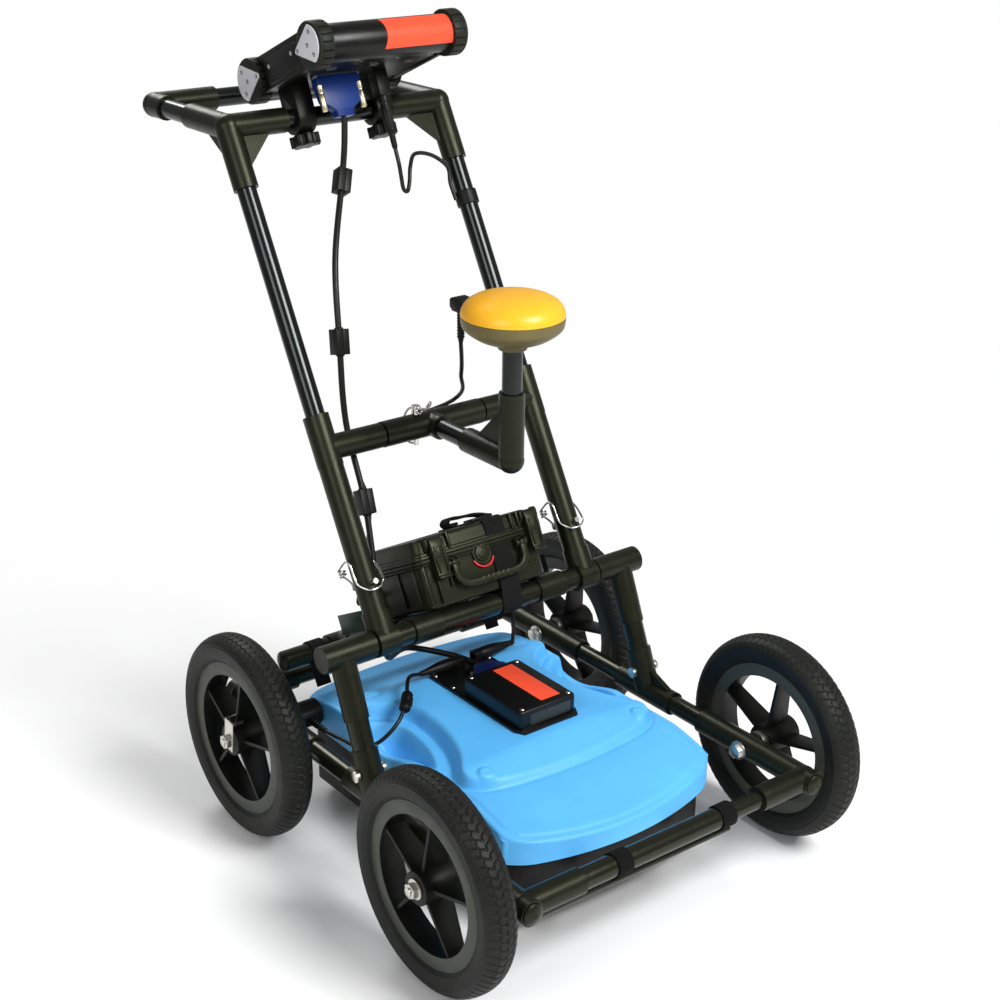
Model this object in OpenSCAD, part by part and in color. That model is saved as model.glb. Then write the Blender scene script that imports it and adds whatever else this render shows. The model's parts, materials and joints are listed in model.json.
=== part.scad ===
// Four-wheeled tubular push cart with a ground antenna slung in its frame, a battery case on a tilted deck,
// a position receiver on a mast and a display console on the push handle.
// X is to the right seen from the front, the front faces -Y, Z is up, the wheels stand on Z = 0.

/* [Wheels] */
// Outer diameter of the tyres
tyre_dia = 304.8; // [290:0.2:320]
// Width of the tyres
tyre_width = 49; // [44:0.5:54]
// Diameter at which the tyres sit on the rims
rim_dia = 228; // [220:1:236]
// Inner diameter of the rim rings
rim_inner_dia = 190; // [180:1:200]
// Width of the rim rings
rim_width = 36; // [32:0.5:40]
// Diameter of the hubs
hub_dia = 46; // [40:1:52]
// Length of the hubs
hub_length = 56; // [50:1:58]
// Depth of the spoke blades at the hub, along the axle
spoke_hub_depth = 40; // [36:1:48]
// Depth of the spoke blades at the rim, along the axle
spoke_rim_depth = 26; // [24:1:34]
// Thickness of the spoke blades
spoke_thick = 5; // [4:0.5:7]
// Number of spokes
spoke_count = 5; // [5:1:6]
// Distance between the wheel planes
track = 616; // [606:1:640]

/* [Axles] */
// Diameter of the axle bolts
axle_dia = 12; // [10:0.5:14]
// Width across the flats of the bolt heads and nuts
hex_flats = 19; // [17:0.5:22]
// Height of the bolt heads and nuts
hex_height = 8; // [6:0.5:9]
// Diameter of the washers
washer_dia = 28; // [24:0.5:32]
// Thickness of the washers
washer_thick = 2; // [1.5:0.1:3]
// Diameter of the axle spacers
spacer_dia = 32; // [28:0.5:34]
// Thread standing out of the nuts
axle_tail = 3; // [1:0.5:5]
// Side play of the hubs
side_play = 0.3; // [0.3:0.05:0.6]
// Thickness of the bent drive dog
dog_thick = 3; // [2:0.2:3]
// Width of the drive dog
dog_width = 22; // [18:0.5:26]
// Reach of the drive dog from the axle
dog_reach = 34; // [32:1:44]
// Reach of the drive dog's two prongs into the wheel, astride a spoke
dog_tab = 18; // [14:0.5:20]
// Height of the drive dog's prongs
dog_prong = 5; // [4:0.5:6]

/* [Base frame] */
// Distance between the two side rails
rail_spacing = 504; // [498:1:510]
// Distance between the front and the rear bars
base_length = 682; // [672:1:700]
// Distance from the front and the rear bars to the axles
axle_inset = 110; // [109:0.5:114]
// Outer diameter of the frame tubes
tube_od = 28; // [26:0.5:30]
// Wall of the frame tubes
tube_wall = 3; // [2:0.2:4]
// Outer diameter of the front bar
front_bar_od = 25; // [23:0.5:26]
// Outer diameter of the sleeve on the front bar
front_sleeve_od = 30; // [28:0.5:32]
// End of the front sleeve, right of the middle
front_sleeve_end = 97; // [85:1:110]
// Diameter of the tow bar
tow_bar_dia = 10; // [8:0.5:12]
// Length of the tow bar
tow_bar_length = 340; // [320:1:345]
// Middle of the tow bar, left of the cart's middle
tow_bar_offset = 65; // [60:1:66]
// Drop of the tow bar below the front bar
tow_bar_drop = 23.3; // [23.2:0.1:24]

/* [Fittings] */
// Outer diameter of the tube fittings
fitting_od = 36; // [35:0.5:38]
// Reach of a fitting's leg from its centre
fitting_leg = 92; // [84:1:94]
// Distance from a fitting's centre to the end of a tube in it
socket_floor = 20; // [19:0.5:24]
// Thickness of the gussets between fitting legs
gusset_thick = 8; // [6:0.5:10]
// Reach of the plugged boss at the base corners
corner_boss = 20; // [19:0.5:24]
// Diameter of the domed end plugs
plug_dia = 31; // [28:0.5:33]
// Thickness of the plugs' flange
plug_flange = 2; // [1.5:0.1:3]
// Height of the plugs' dome
plug_dome = 5; // [3:0.2:7]
// Length of the axle couplings ahead of and behind the post feet
coupling_length = 111; // [105:1:112]

/* [Posts and cross tube] */
// Outer diameter of the posts, the cross tube and the deck tubes
post_od = 32; // [30:0.5:33]
// Height of the cross tube's middle
cross_height = 336; // [330:1:344]
// Setback of the cross tube behind the cart's middle
cross_setback = 61; // [55:1:67]
// Advance of the post feet ahead of the cart's middle
foot_advance = 17; // [10:1:22]
// Length of a post foot on its rail
foot_length = 116; // [110:1:124]
// Reach of a post foot's branch along the post
foot_branch = 66; // [60:1:72]
// Reach of the post foot's gussets
foot_gusset = 50; // [40:1:54]
// Diameter of the post foot bolts
foot_bolt_dia = 8; // [6:0.5:10]
// Height of the post foot bolts above the rail
foot_bolt_rise = 30; // [26:1:36]
// Outer diameter of the post and deck tees
post_tee_od = 38; // [37.5:0.1:40]
// Outer end of the post tees, beyond the post
tee_cap_reach = 32; // [28:1:36]
// Inner end of the post tees, inside the post
tee_inner_reach = 50; // [46:0.5:50.5]
// Width of the handle socket tees along the cross tube
socket_tee_width = 34; // [30:0.5:34]
// Reach of the handle socket tees
socket_reach = 42; // [36:1:48]
// Outer diameter of the handle socket tees
socket_od = 42; // [41:0.2:44]

/* [Deck] */
// Height of the deck's rear tube
deck_rear_height = 222.6; // [214:0.2:232]
// Distance from the cross tube to the deck's rear tube
deck_depth = 244; // [238:1:252]
// Distance between the deck's side tubes
deck_spacing = 224; // [212:1:232]
// Length of the deck's rear tube
deck_rear_length = 430; // [410:1:440]
// Width of the deck tees along their tubes
deck_tee_width = 48; // [42:1:50]
// Reach of the deck tees along the side tubes
deck_tee_reach = 46; // [42:1:52]
// Thickness of the case tray
tray_thick = 3; // [2:0.2:4]
// Length of the tray down the deck
tray_length = 118; // [110:1:124]
// Start of the tray behind the cross tube
tray_start = 62; // [60:1:66]
// Width over the tray's flanges
tray_width = 336; // [326:1:340]
// Height of the tray's flanges
tray_flange = 30; // [24:1:34]

/* [Battery case] */
// Width of the case
case_width = 212; // [206:1:216]
// Depth of the case
case_depth = 184; // [176:1:190]
// Advance of the case's front ahead of the cross tube
case_advance = 22; // [18:0.5:26]
// Height of the case's base
case_base_height = 71; // [66:1:76]
// Height of the lid
case_lid_height = 31; // [28:0.5:34]
// Wall of the case
case_wall = 4; // [3:0.2:5]
// Standout of the rims along the lid joint
case_lip = 6; // [4:0.5:7]
// Height of each rim along the lid joint
case_lip_height = 6; // [5:0.5:7]
// Gap between the lid and the base
lid_gap = 0.4; // [0.3:0.05:0.8]
// Diameter of the lid hinges' knuckles
knuckle_dia = 8; // [7:0.2:9]
// Length of a hinge knuckle
knuckle_length = 18; // [14:0.5:20]
// Diameter of the hinge pins
hinge_pin = 4; // [3:0.2:4.6]
// Inner end of the hinges, from the middle
hinge_x = 43; // [36:1:48]
// Clearance of the battery pack in the case
battery_gap = 1; // [0.6:0.1:2]
// Width of the latches
latch_width = 22; // [18:0.5:24]
// Length of the latches
latch_length = 56; // [50:1:60]
// Thickness of the latches
latch_thick = 7; // [5:0.5:8]
// Standoff of the latches from the case
latch_standoff = 7.5; // [7.2:0.1:9]
// Middle of the left latch, left of the middle
latch_left_x = 77; // [74:1:82]
// Middle of the right latch, right of the middle
latch_right_x = 93; // [92:0.5:94]
// Diameter of the latch pins
latch_pin = 4; // [3:0.2:4.6]
// Left leg of the carry handle, left of the middle
grip_left_x = 55; // [50:1:55]
// Right leg of the carry handle, right of the middle
grip_right_x = 71; // [66:1:71]
// Width of the carry handle's legs
grip_width = 10; // [8:0.5:11]
// Thickness of the carry handle
grip_thick = 8; // [6:0.5:9]
// Length of the carry handle
grip_length = 47; // [42:1:50]
// Drop of the carry handle's pivots below the lid joint
grip_drop = 14; // [12:0.5:16]
// Diameter of the carry handle's pivots
grip_pin = 5; // [4:0.2:6]
// Diameter of the pressure valve
valve_dia = 28; // [24:0.5:30]
// Standout of the pressure valve
valve_height = 5; // [3:0.5:6]
// Width of the hold-down strap
strap_width = 34; // [30:1:38]
// Thickness of the straps
strap_thick = 2.5; // [2:0.1:3]
// Middle of the hold-down strap, right of the middle
strap_x = 34; // [30:1:38]
// Length of the strap's tail over the lid
strap_tail_length = 120; // [100:1:140]

/* [Push handle] */
// Lean of the handle behind the upright
handle_tilt = 29.6; // [28:0.1:31]
// Distance between the handle tubes
handle_spacing = 362; // [358:1:366]
// Length of the handle from the cross tube to its top
handle_length = 749; // [730:1:765]
// Distance from the cross tube to the mid crossbar
crossbar_distance = 278; // [272:1:286]
// Reach of the crossbar tees below the crossbar
crossbar_tee_below = 26; // [24:0.5:30]
// Reach of the crossbar tees above the crossbar
crossbar_tee_above = 48; // [44:0.5:54]
// Outer diameter of the lower sleeves
sleeve_od = 36; // [34:0.5:37]
// Radial clearance of the upper tubes in the sleeves
sleeve_gap = 0.1; // [0.05:0.01:0.2]
// Start of the upper tubes, from the cross tube
upper_start = 62; // [58:1:68]
// Distance from the cross tube to the lock pins
pin_distance = 82; // [78:1:90]
// Reach of the side arms behind the handle's top
arm_reach = 212; // [204:1:222]
// Reach of the gussets at the handle's top
corner_gusset = 78; // [70:1:80]
// Reach of the handle corners along the side arms
corner_arm_leg = 102; // [94:1:104]
// Length of the elbow legs along the side arms
elbow_arm_leg = 37; // [34:0.5:42]
// Length of the elbow legs along the handlebar
elbow_bar_leg = 98; // [90:1:106]
// Distance from the cross tube to the cable clip
clip_distance = 595; // [585:1:605]
// Length of the cable clip
clip_length = 22; // [18:1:26]

/* [Lock pins] */
// Diameter of the lock pins
pin_dia = 8; // [7:0.2:9]
// Radial clearance of the lock pins
pin_gap = 0.1; // [0.05:0.01:0.2]
// Standout of the pins' tips
pin_tip = 9; // [8:0.5:10]
// Diameter of the pins' heads
pin_head_dia = 13; // [12:0.5:15]
// Length of the pins' heads
pin_head = 12; // [11:0.5:14]
// Wire diameter of the bails
bail_wire = 3; // [2.5:0.1:3.4]
// Radial clearance of the bails in the pins' heads
bail_gap = 0.08; // [0.04:0.01:0.1]
// Clearance of the bails beside the tubes
bail_side = 3; // [2.5:0.1:5]
// Set of the bails' closed ends below the pins
bail_set = 9; // [8.5:0.5:12]

/* [Position receiver] */
// Reach of the arm ahead of the crossbar
gps_reach = 187; // [180:1:196]
// Reach of the elbow's legs
gps_leg = 98; // [90:1:104]
// Height of the receiver's underside above the arm
gps_rise = 174; // [168:1:182]
// Diameter of the receiver
gps_dia = 141.5; // [134:0.5:150]
// Height of the receiver's base
gps_base_height = 33; // [30:0.5:36]
// Height of the receiver's dome
gps_dome_height = 31; // [28:0.5:34]
// Diameter of the threaded boss under the receiver
gps_boss_dia = 40; // [36:0.5:44]
// Length of the threaded boss under the receiver
gps_boss = 14; // [10:0.5:16]
// Reach of the mid tee along the crossbar
mid_tee_reach = 86; // [80:1:90]
// Reach of the mid tee's branch
mid_tee_branch = 27; // [25:0.5:32]
// Offset of the receiver's lock pin from the middle
gps_pin_offset = 27; // [26:0.5:34]
// Width of the receiver's plug
gps_plug_width = 24; // [20:0.5:26]
// Height of the receiver's plug
gps_plug_height = 19; // [17:0.5:22]
// Length of the receiver's plug
gps_plug_length = 28; // [24:0.5:32]
// Length of the neck between the receiver and its plug
gps_neck = 28; // [24:0.5:32]
// Length of the plug's bend relief
gps_relief = 46; // [40:1:52]

/* [Antenna] */
// Room between each end of the antenna shell and the nearer bar's middle, before the setback
end_room = 52; // [50:0.5:58]
// Width of the antenna shell
shell_width = 372; // [362:1:380]
// Setback of the antenna's middle behind the cart's middle
shell_setback = 21; // [18:0.5:24]
// Radius of the shell's front and rear edges
shell_bow = 455; // [420:5:520]
// Chamfer of the shell's corners
shell_corner = 18; // [14:1:22]
// Height of the shell's lower edge
shell_bottom = 120; // [117:0.5:123]
// Height of the shell's lip
shell_lip = 28; // [24:0.5:32]
// Rise of the shell's sloping rim above its lip
shell_slope = 20; // [16:0.5:24]
// Length of the raised deck
raised_length = 338; // [328:1:346]
// Width of the raised deck
raised_width = 344; // [336:1:350]
// Radius of the raised deck's front and rear edges
raised_bow = 788; // [700:10:900]
// Rise of the raised deck's edge above the sloping rim
raised_step = 14; // [10:0.5:16]
// Length of the raised deck's flat top
flat_length = 230; // [228:1:240]
// Rise of the flat top above the raised deck's edge
flat_rise = 21; // [17:0.5:25]
// Radius of the side scoops at the top
scoop_top = 94; // [88:1:98]
// Radius of the side scoops at the floor
scoop_floor = 60; // [54:1:66]
// Height of the scoop floors above the shell's lower edge
scoop_height = 8; // [6:0.5:12]
// Inset of the scoops' centres from the shell's sides
scoop_inset = 8; // [4:0.5:12]
// Advance of the scoops' centres behind the antenna's middle
scoop_setback = 16; // [10:1:20]
// Diameter of the deck bosses
boss_dia = 24; // [20:0.5:28]
// Height of the deck bosses
boss_height = 5; // [3:0.5:7]
// Distance between the bosses across the deck
boss_spacing = 278; // [270:1:284]
// Distance between the bosses along the deck
boss_pitch = 282; // [272:1:290]
// Wall of the antenna's housing
shell_wall = 6; // [4:0.5:8]
// Ground clearance of the skid
skid_clearance = 25; // [20:0.5:30]
// Inset of the skid inside the shell
skid_inset = 7; // [5:0.5:9]
// Bevel of the skid's ends
skid_bevel = 45; // [36:1:52]

/* [Radar box] */
// Width of the radar box's plate
plate_width = 112; // [108:1:118]
// Length of the radar box's plate
plate_length = 226; // [222:1:228]
// Thickness of the radar box's plate
plate_thick = 4; // [3:0.2:5]
// Width of the radar box
radar_width = 100; // [94:1:104]
// Length of the radar box
radar_length = 134; // [128:1:140]
// Height of the radar box
radar_height = 28; // [24:0.5:32]
// Inset of the box from the plate's front edge
radar_inset = 8; // [6:0.5:10]
// Offset of the radar box to the right
radar_offset = 6; // [2:0.5:8]
// Diameter of the radar box's screws
radar_screw = 7; // [5:0.5:8]
// Inset of the radar box's screws
radar_screw_inset = 8; // [7:0.5:10]
// Height of the screw heads
screw_head = 1.5; // [1:0.1:2]
// Width of the data plug on the radar box
blue_plug_width = 58; // [54:1:62]
// Length of the data plug on the radar box
blue_plug_length = 42; // [38:1:44]
// Offset of the plugs from the radar box's middle
blue_plug_offset = 14; // [10:0.5:16]
// Distance from the radar box to the side plugs
side_plug_setback = 76; // [72:1:77]
// Distance from the data plug's middle to the side plugs' sockets
side_plug_gap = 10; // [9:0.5:11]
// Thickness of the data plug on the radar box
blue_plug_thick = 16; // [14:0.5:18]
// Diameter of the side plugs on the radar box
side_plug_dia = 16; // [14:0.5:17]
// Length of the side plugs on the radar box
side_plug_length = 64; // [58:1:70]

/* [Straps] */
// Width of the antenna straps
sling_width = 25; // [22:0.5:28]
// Middle of the front straps, right and left of the middle
sling_x = 93; // [90:1:96]
// Middle of the rear hangers, right and left of the middle
hanger_x = 160; // [150:1:162]

/* [Encoder] */
// Diameter of the encoder
encoder_dia = 40; // [38:0.5:44]
// Length of the encoder
encoder_length = 44; // [40:0.5:48]
// Thickness of the encoder's closed end
encoder_end = 8; // [6:0.5:10]
// Length of the encoder's bend relief
relief_length = 40; // [34:1:46]
// Diameter of the encoder's bend relief
relief_dia = 12; // [10:0.5:14]

/* [Console] */
// Backward lean of the console's face
console_tilt = 23.3; // [20:0.1:26]
// Width of the console
console_width = 248; // [240:1:256]
// Depth of the console over its bumpers
console_depth = 244; // [236:1:252]
// Thickness of the console's slab
console_thick = 44; // [40:0.5:48]
// Diameter of the console's rounded ends
console_roll = 54; // [50:0.5:58]
// Diameter of the console's bumpers
bumper_dia = 66; // [62:0.5:70]
// Width of the console's bumpers
bumper_width = 23; // [20:0.5:26]
// Depth of the bumpers' grooves
bumper_groove = 4; // [3:0.2:5]
// Height of the console's middle above its bar
console_rise = 68; // [66:0.5:72]
// Advance of the console's middle ahead of its bar
console_advance = 52; // [46:1:58]
// Offset of the console to the right
console_offset = 15; // [8:0.5:17]
// Inset of the console's side panels
side_inset = 9; // [7:0.5:12]
// Thickness of the corner plates
corner_plate = 2; // [1.5:0.1:2.5]
// Diameter of the corner plate screws
plate_screw = 6; // [5:0.2:7]
// Width of the screen
screen_width = 184; // [170:1:192]
// Depth of the screen
screen_depth = 138; // [128:1:146]
// Standout of the screen
screen_thick = 1.5; // [1:0.1:2]
// Width of the bar clamps
clamp_width = 28; // [24:0.5:30]
// Outer diameter of the bar clamps
clamp_od = 46; // [42:0.5:48]
// Middle of the left clamp, left of the middle
clamp_left_x = 62; // [60:0.5:64]
// Middle of the right clamp, right of the middle
clamp_right_x = 72; // [68:0.5:73]
// Radial clearance of the clamps on the bar
clamp_gap = 0.05; // [0.02:0.01:0.1]
// Diameter of the star knobs
knob_dia = 44; // [40:0.5:46]
// Height of the star knobs
knob_height = 16; // [14:0.5:18]
// Diameter of the star knobs' studs
stud_dia = 8; // [6:0.5:9]
// Gap between the clamps and the star knobs
knob_gap = 2; // [1:0.2:4]
// Width of the data plug at the console
hood_width = 72; // [66:1:76]
// Width of the data plug's cable end
hood_neck = 34; // [30:1:38]
// Thickness of the data plug
hood_thick = 16; // [14:0.5:18]
// Height of the data plug
hood_height = 60; // [54:1:66]
// Height of the data plug's tapered part
hood_taper = 44; // [38:1:48]
// Advance of the data plug ahead of the bar
hood_advance = 50; // [46:1:54]
// Middle of the data plug, left of the middle
hood_x = 20; // [16:0.5:24]
// Diameter of the data plug's thumbscrews
thumb_dia = 7; // [6:0.5:8]
// Length of the data plug's thumbscrews
thumb_length = 26; // [22:1:30]
// Diameter of the power plug
power_plug_dia = 14.5; // [13:0.5:16]
// Length of the power plug
power_plug_length = 78; // [70:1:84]
// Side of the power socket
power_socket = 20; // [18:0.5:22]
// Height of the power socket
power_socket_height = 38; // [34:1:42]
// Advance of the power plug ahead of the bar
power_advance = 45; // [43:0.5:50]
// Middle of the power plug, right of the middle
power_x = 56; // [52:1:60]

/* [Cables] */
// Diameter of the main cable
main_cable_dia = 9; // [8:0.5:10]
// Diameter of the other cables
thin_cable_dia = 6; // [5:0.5:7]
// Side of the main cable's ferrites
ferrite_side = 21; // [19:0.5:23]
// Length of the main cable's ferrites
ferrite_length = 36; // [32:1:40]
// Diameter of the encoder cable's ferrite
small_ferrite_dia = 17; // [15:0.5:19]
// Length of the encoder cable's ferrite
small_ferrite_length = 32; // [28:1:36]
// Diameter of the cable glands on the battery case
gland_dia = 14; // [12:0.5:16]
// Length of the cable glands on the battery case
gland_length = 12; // [10:0.5:14]
// Straight run of the console's cables below their plugs
cable_lead = 45; // [40:1:50]
// Gap between the console's plugs and their cables
cable_gap = 0.6; // [0.5:0.1:1]

/* [Hidden] */
$fn = 40;
tube_black = [0.05, 0.05, 0.05];
fitting_black = [0.04, 0.04, 0.05];
cable_black = [0.08, 0.08, 0.08];
soft_black = [0.06, 0.06, 0.06];
rim_black = [0.04, 0.04, 0.04];
wire_grey = [0.75, 0.75, 0.77];
zinc = [0.7, 0.7, 0.72];
plug_blue = [0.12, 0.16, 0.4];
// Gap left for cement and press fits
glue_gap = 0.05;
// Radial clearance of the axles
axle_gap = 0.05;
// Overrun of all cuts
overrun = 1;
// Size of the ball that joins fitting legs, as a share of the fitting's diameter
ball_share = 1.04;
// Diameter of a branch as a share of its run's diameter
branch_share = 0.95;
// Reach of a post tee's branch as a share of the post between its tee and its foot
post_branch_share = 0.69;
// Tyre section: share of the section height, share of the half width
tyre_shares = [[0, 0.72], [0.14, 0.88], [0.34, 0.98], [0.52, 1], [0.68, 0.96], [0.82, 0.83],
  [0.93, 0.58], [1, 0.22]];
// Dome section: share of the radius, share of the height
dome_shares = [[1, 0], [0.985, 0.2], [0.94, 0.42], [0.85, 0.62], [0.7, 0.79], [0.48, 0.92],
  [0.24, 0.985], [0, 1]];
// Receiver base section: share of the radius, share of the height
base_shares = [[0, 0], [0.62, 0], [0.7, 0.08], [0.94, 0.45], [0.98, 0.6], [1, 1], [0, 1]];
// Position along the antenna's rim slope where the raised deck starts, as a share of the half length
slope_share = 0.56;
// Sides of the corner plates as shares of the bumper's radius
corner_plate_shares = [[-0.8, 0.48], [-0.64, 0.66], [0.64, 0.66], [0.8, 0.48], [0.14, -0.84],
  [-0.14, -0.84]];
// Positions of the corner plate screws as shares of the bumper's radius
plate_screw_shares = [[-0.52, 0.42], [0.52, 0.42], [0, -0.58], [0, 0.04]];
// Middle of the pressure valve up the case's base, as a share of its height
valve_share = 0.8;
// Length of the tray's flanges as a share of its length
tray_share = 0.6;
// Number of grooves round a bumper
groove_count = 14;
// Number of lobes of a star knob
lobe_count = 7;
// Diameter of a notch between two lobes of the knob, and its place, as shares of the knob
notch_share = 0.3;
// Distance of a notch's centre from the knob's axis, as a share of the knob
notch_place_share = 0.53;
// Shift of the radar plate behind the antenna's middle, as a share of the flat top's length
plate_shift_share = 0.04;
// Standout of a side plug's socket as a share of the plug's diameter
side_socket_share = 0.8;
// Height of the receiver's socket as a share of its base's height
gps_socket_share = 0.64;
// Place of the bend relief along the receiver's plug, as a share of the plug's length
gps_relief_share = 0.6;
// Diameter of the receiver plug's neck as a share of the plug's height
gps_neck_share = 0.7;
// Reach of the mast elbow's gusset as a share of the elbow's leg
gps_gusset_share = 0.9;
// Height of a foot bolt's head as a share of the bolt's diameter
bolt_head_share = 0.7;
// Start of the crossbar stubs in the mid tee, as a share of the socket floor
stub_share = 0.7;
// End of the receiver's arm past the crossbar's middle, as a share of the socket floor
arm_end_share = 0.4;
// Place of a bail's closed end along the pin's tip, as a share of the tip
bail_share = 0.6;
// Half width of the encoder's bracket as a share of the encoder's diameter
bracket_share = 0.4;
// Reach of a clamp's block behind the bar, as a share of the clamp's radius
clamp_back_share = 0.8;
// Half thickness of the data plug's metal shell as a share of the plug's thickness
hood_shell_share = 0.4;
// Core of a bend relief, taper from rib to rib and length of a rib, as shares
relief_shares = [0.7, 0.04, 0.6];
// Ribs of a bend relief
relief_ribs = 5;
// Turn of the wheels from the upright towards the front
wheel_turn = 6;
// Sides of a swept cable
cable_sides = 8;
// Steps between two points of a cable's route
cable_steps = 2;
// Points of the main cable's route that carry its ferrites
main_ferrites = [2, 4, 6];
// Point of the encoder cable's route that carries its ferrite
encoder_ferrite = 5;

rail_x = rail_spacing / 2;
axle_z = tyre_dia / 2;
bar_y = base_length / 2;
wheelbase = base_length - 2 * axle_inset;
coupling_overhang = axle_inset - fitting_leg;
shell_length = base_length - 2 * end_room;
deck_tilt = asin((cross_height - deck_rear_height) / deck_depth);
foot_y = -foot_advance;
post_tilt = atan2(cross_setback + foot_advance, cross_height - axle_z);
post_length = norm([cross_setback + foot_advance, cross_height - axle_z]);
post_branch = (post_length - foot_branch) * post_branch_share;
// The post's slanting end stays clear of the rail
post_start = (tube_od / 2 + post_od / 2 * sin(post_tilt)) / cos(post_tilt) + overrun;
handle_x = handle_spacing / 2;
top_y = cross_setback + handle_length * sin(handle_tilt);
top_z = cross_height + handle_length * cos(handle_tilt);
grip_y = top_y + arm_reach;
mid_y = cross_setback + crossbar_distance * sin(handle_tilt);
mid_z = cross_height + crossbar_distance * cos(handle_tilt);
mast_y = mid_y - gps_reach;
gps_z = mid_z + gps_rise;
hub_in = track / 2 - hub_length / 2;
hub_out = track / 2 + hub_length / 2;
case_bottom = post_od / 2 + tray_thick;
case_joint = case_bottom + case_base_height;
case_top = case_joint + case_lid_height;
case_front = -case_advance;
case_rear = case_depth - case_advance;
hinge_s = case_rear + case_lip / 2 + lid_gap + knuckle_dia / 2;
hinge_h = case_joint + lid_gap / 2;
hinge_split = hinge_x + knuckle_length + lid_gap;
latch_s = case_front - latch_standoff;
latch_pivot_s = case_front - latch_pin - latch_pin / 2;
latch_pivot_h = case_top - latch_pin - latch_pin / 2;
grip_pivot_s = case_front - case_lip - grip_thick / 2;
grip_pivot_h = case_joint - grip_drop;
flat_z = shell_bottom + shell_lip + shell_slope + raised_step + flat_rise;
raised_z = shell_bottom + shell_lip + shell_slope + raised_step;
rim_z = shell_bottom + shell_lip + shell_slope;
lip_z = shell_bottom + shell_lip;
plate_front = -plate_length / 2 + shell_setback + flat_length * plate_shift_share;
plate_top = flat_z + plate_thick;
radar_front = plate_front + radar_inset;
radar_rear = radar_front + radar_length;
slab_bottom = console_rise - console_thick / 2;
slab_top = console_rise + console_thick / 2;
bumper_y = console_depth / 2 - bumper_dia / 2;
hood_bottom = slab_bottom - hood_height - screen_thick;
knob_top = -clamp_od / 2 - knob_gap;
encoder_face = -rail_x + fitting_od / 2;
front_end = max(bar_y + corner_boss + plug_flange + plug_dome, wheelbase / 2 + axle_z);
rear_end = grip_y + fitting_od * ball_share / 2;
cart_mid = (rear_end - front_end) / 2;

// Points of the cables' routes, in the cart's frame
main_route_free = [[-35, 366, 904], [-92, 300, 811], [-114, 260, 705], [-122, 236, 594], [-128, 182, 490],
  [-144, 130, 374], [-146, 104, 316], [-138, 114, 274], [-60, 176, 240], [6, 146, 218]];
encoder_route_free = [[-206, 140, 152], [-203, 96, 158], [-190, 66, 174], [-160, 62, 196], [-130, 82, 213],
  [-96, 124, 222]];
power_route_free = [[60, 350, 896], [72, 368, 880], [84, 384, 906], [106, 384, 924], [136, 384, 919],
  [160, 376, 900], [160, 368, 876]];
gps_route_free = [[18, 150, 662], [56, 221, 594], [-100, 240, 556], [-122, 180, 484],
  [-134, 176, 390], [-140, 186, 334]];
battery_route_free = [[134, 168, 228], [148, 198, 262], [142, 200, 312]];

function unit(v) = v / norm(v);
// Fall of a bowed edge from its middle to its ends
function bow_drop(width, radius) = width * width / (8 * radius);
function curve(p, i, t) =
  let (n = len(p) - 1, a = p[max(i - 1, 0)], b = p[i], c = p[min(i + 1, n)], d = p[min(i + 2, n)])
  (2 * b + (c - a) * t + (2 * a - 5 * b + 4 * c - d) * t * t + (3 * b - a - 3 * c + d) * t * t * t) / 2;
function route(p) =
  [for (i = [0 : len(p) - 2]) for (j = [0 : cable_steps - 1]) curve(p, i, j / cable_steps), p[len(p) - 1]];
function heading(p, i) = unit(p[min(i + 1, len(p) - 1)] - p[max(i - 1, 0)]);
function square_to(t) = unit(cross(t, abs(t[2]) < 0.8 ? [0, 0, 1] : [1, 0, 0]));
function carry(p, i, w, kept) =
  i == len(p) ? kept :
  let (t = heading(p, i), v = unit(w - (w * t) * t))
  carry(p, i + 1, v, concat(kept, [v]));
function ring(c, t, w, r) =
  [for (k = [0 : cable_sides - 1])
    c + r * (cos(360 * k / cable_sides) * w + sin(360 * k / cable_sides) * cross(t, w))];

// Turn from the cart's frame into the handle's, deck's and console's planes
function handle_point(x, s, h) =
  [x, cross_setback + s * cos(handle_tilt) + h * sin(handle_tilt),
    cross_height - s * sin(handle_tilt) + h * cos(handle_tilt)];
function deck_point(x, s, h) =
  [x, cross_setback + s * cos(deck_tilt) + h * sin(deck_tilt),
    cross_height - s * sin(deck_tilt) + h * cos(deck_tilt)];
function console_point(x, s, h) =
  [x, top_y + s * cos(console_tilt) + h * sin(console_tilt),
    top_z - s * sin(console_tilt) + h * cos(console_tilt)];

main_start = console_point(-hood_x, -hood_advance, hood_bottom - cable_gap);
main_lead = console_point(-hood_x, -hood_advance, hood_bottom - cable_lead);
plug_x = radar_offset + blue_plug_offset;
main_end = [plug_x, radar_rear + blue_plug_length, plate_top + blue_plug_thick / 2];
main_points = concat([main_start, main_lead], main_route_free, [main_end]);
side_plug_y = radar_rear + side_plug_setback;
side_plug_z = plate_top + side_plug_dia / 2;
side_plug_x = side_plug_gap + side_plug_dia * side_socket_share;
encoder_start = [encoder_face + encoder_length / 2, wheelbase / 2 - encoder_dia / 2 - relief_length, axle_z];
encoder_end_point = [plug_x - side_plug_x - side_plug_length, side_plug_y, side_plug_z];
encoder_points = concat([encoder_start], encoder_route_free, [encoder_end_point]);
power_plug_end = slab_bottom - power_socket_height - power_plug_length;
power_start = console_point(power_x, -power_advance, power_plug_end - cable_gap);
power_lead = console_point(power_x, -power_advance, power_plug_end - cable_lead / 2);
power_end = handle_point(handle_x - tube_od / 2 - thin_cable_dia, 0, clip_distance);
power_points = concat([power_start, power_lead], power_route_free, [power_end]);
gps_plug_y = mast_y + gps_dia / 2;
gps_plug_z = gps_z + gps_base_height * gps_socket_share;
gps_start = [0, gps_plug_y + gps_neck + gps_plug_length * gps_relief_share,
  gps_plug_z - gps_plug_height / 2 - gps_relief];
gland_s = case_rear - case_depth / 4;
gland_h = case_bottom + case_base_height / 2;
gps_end = deck_point(-case_width / 2 - gland_length, gland_s, gland_h);
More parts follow.
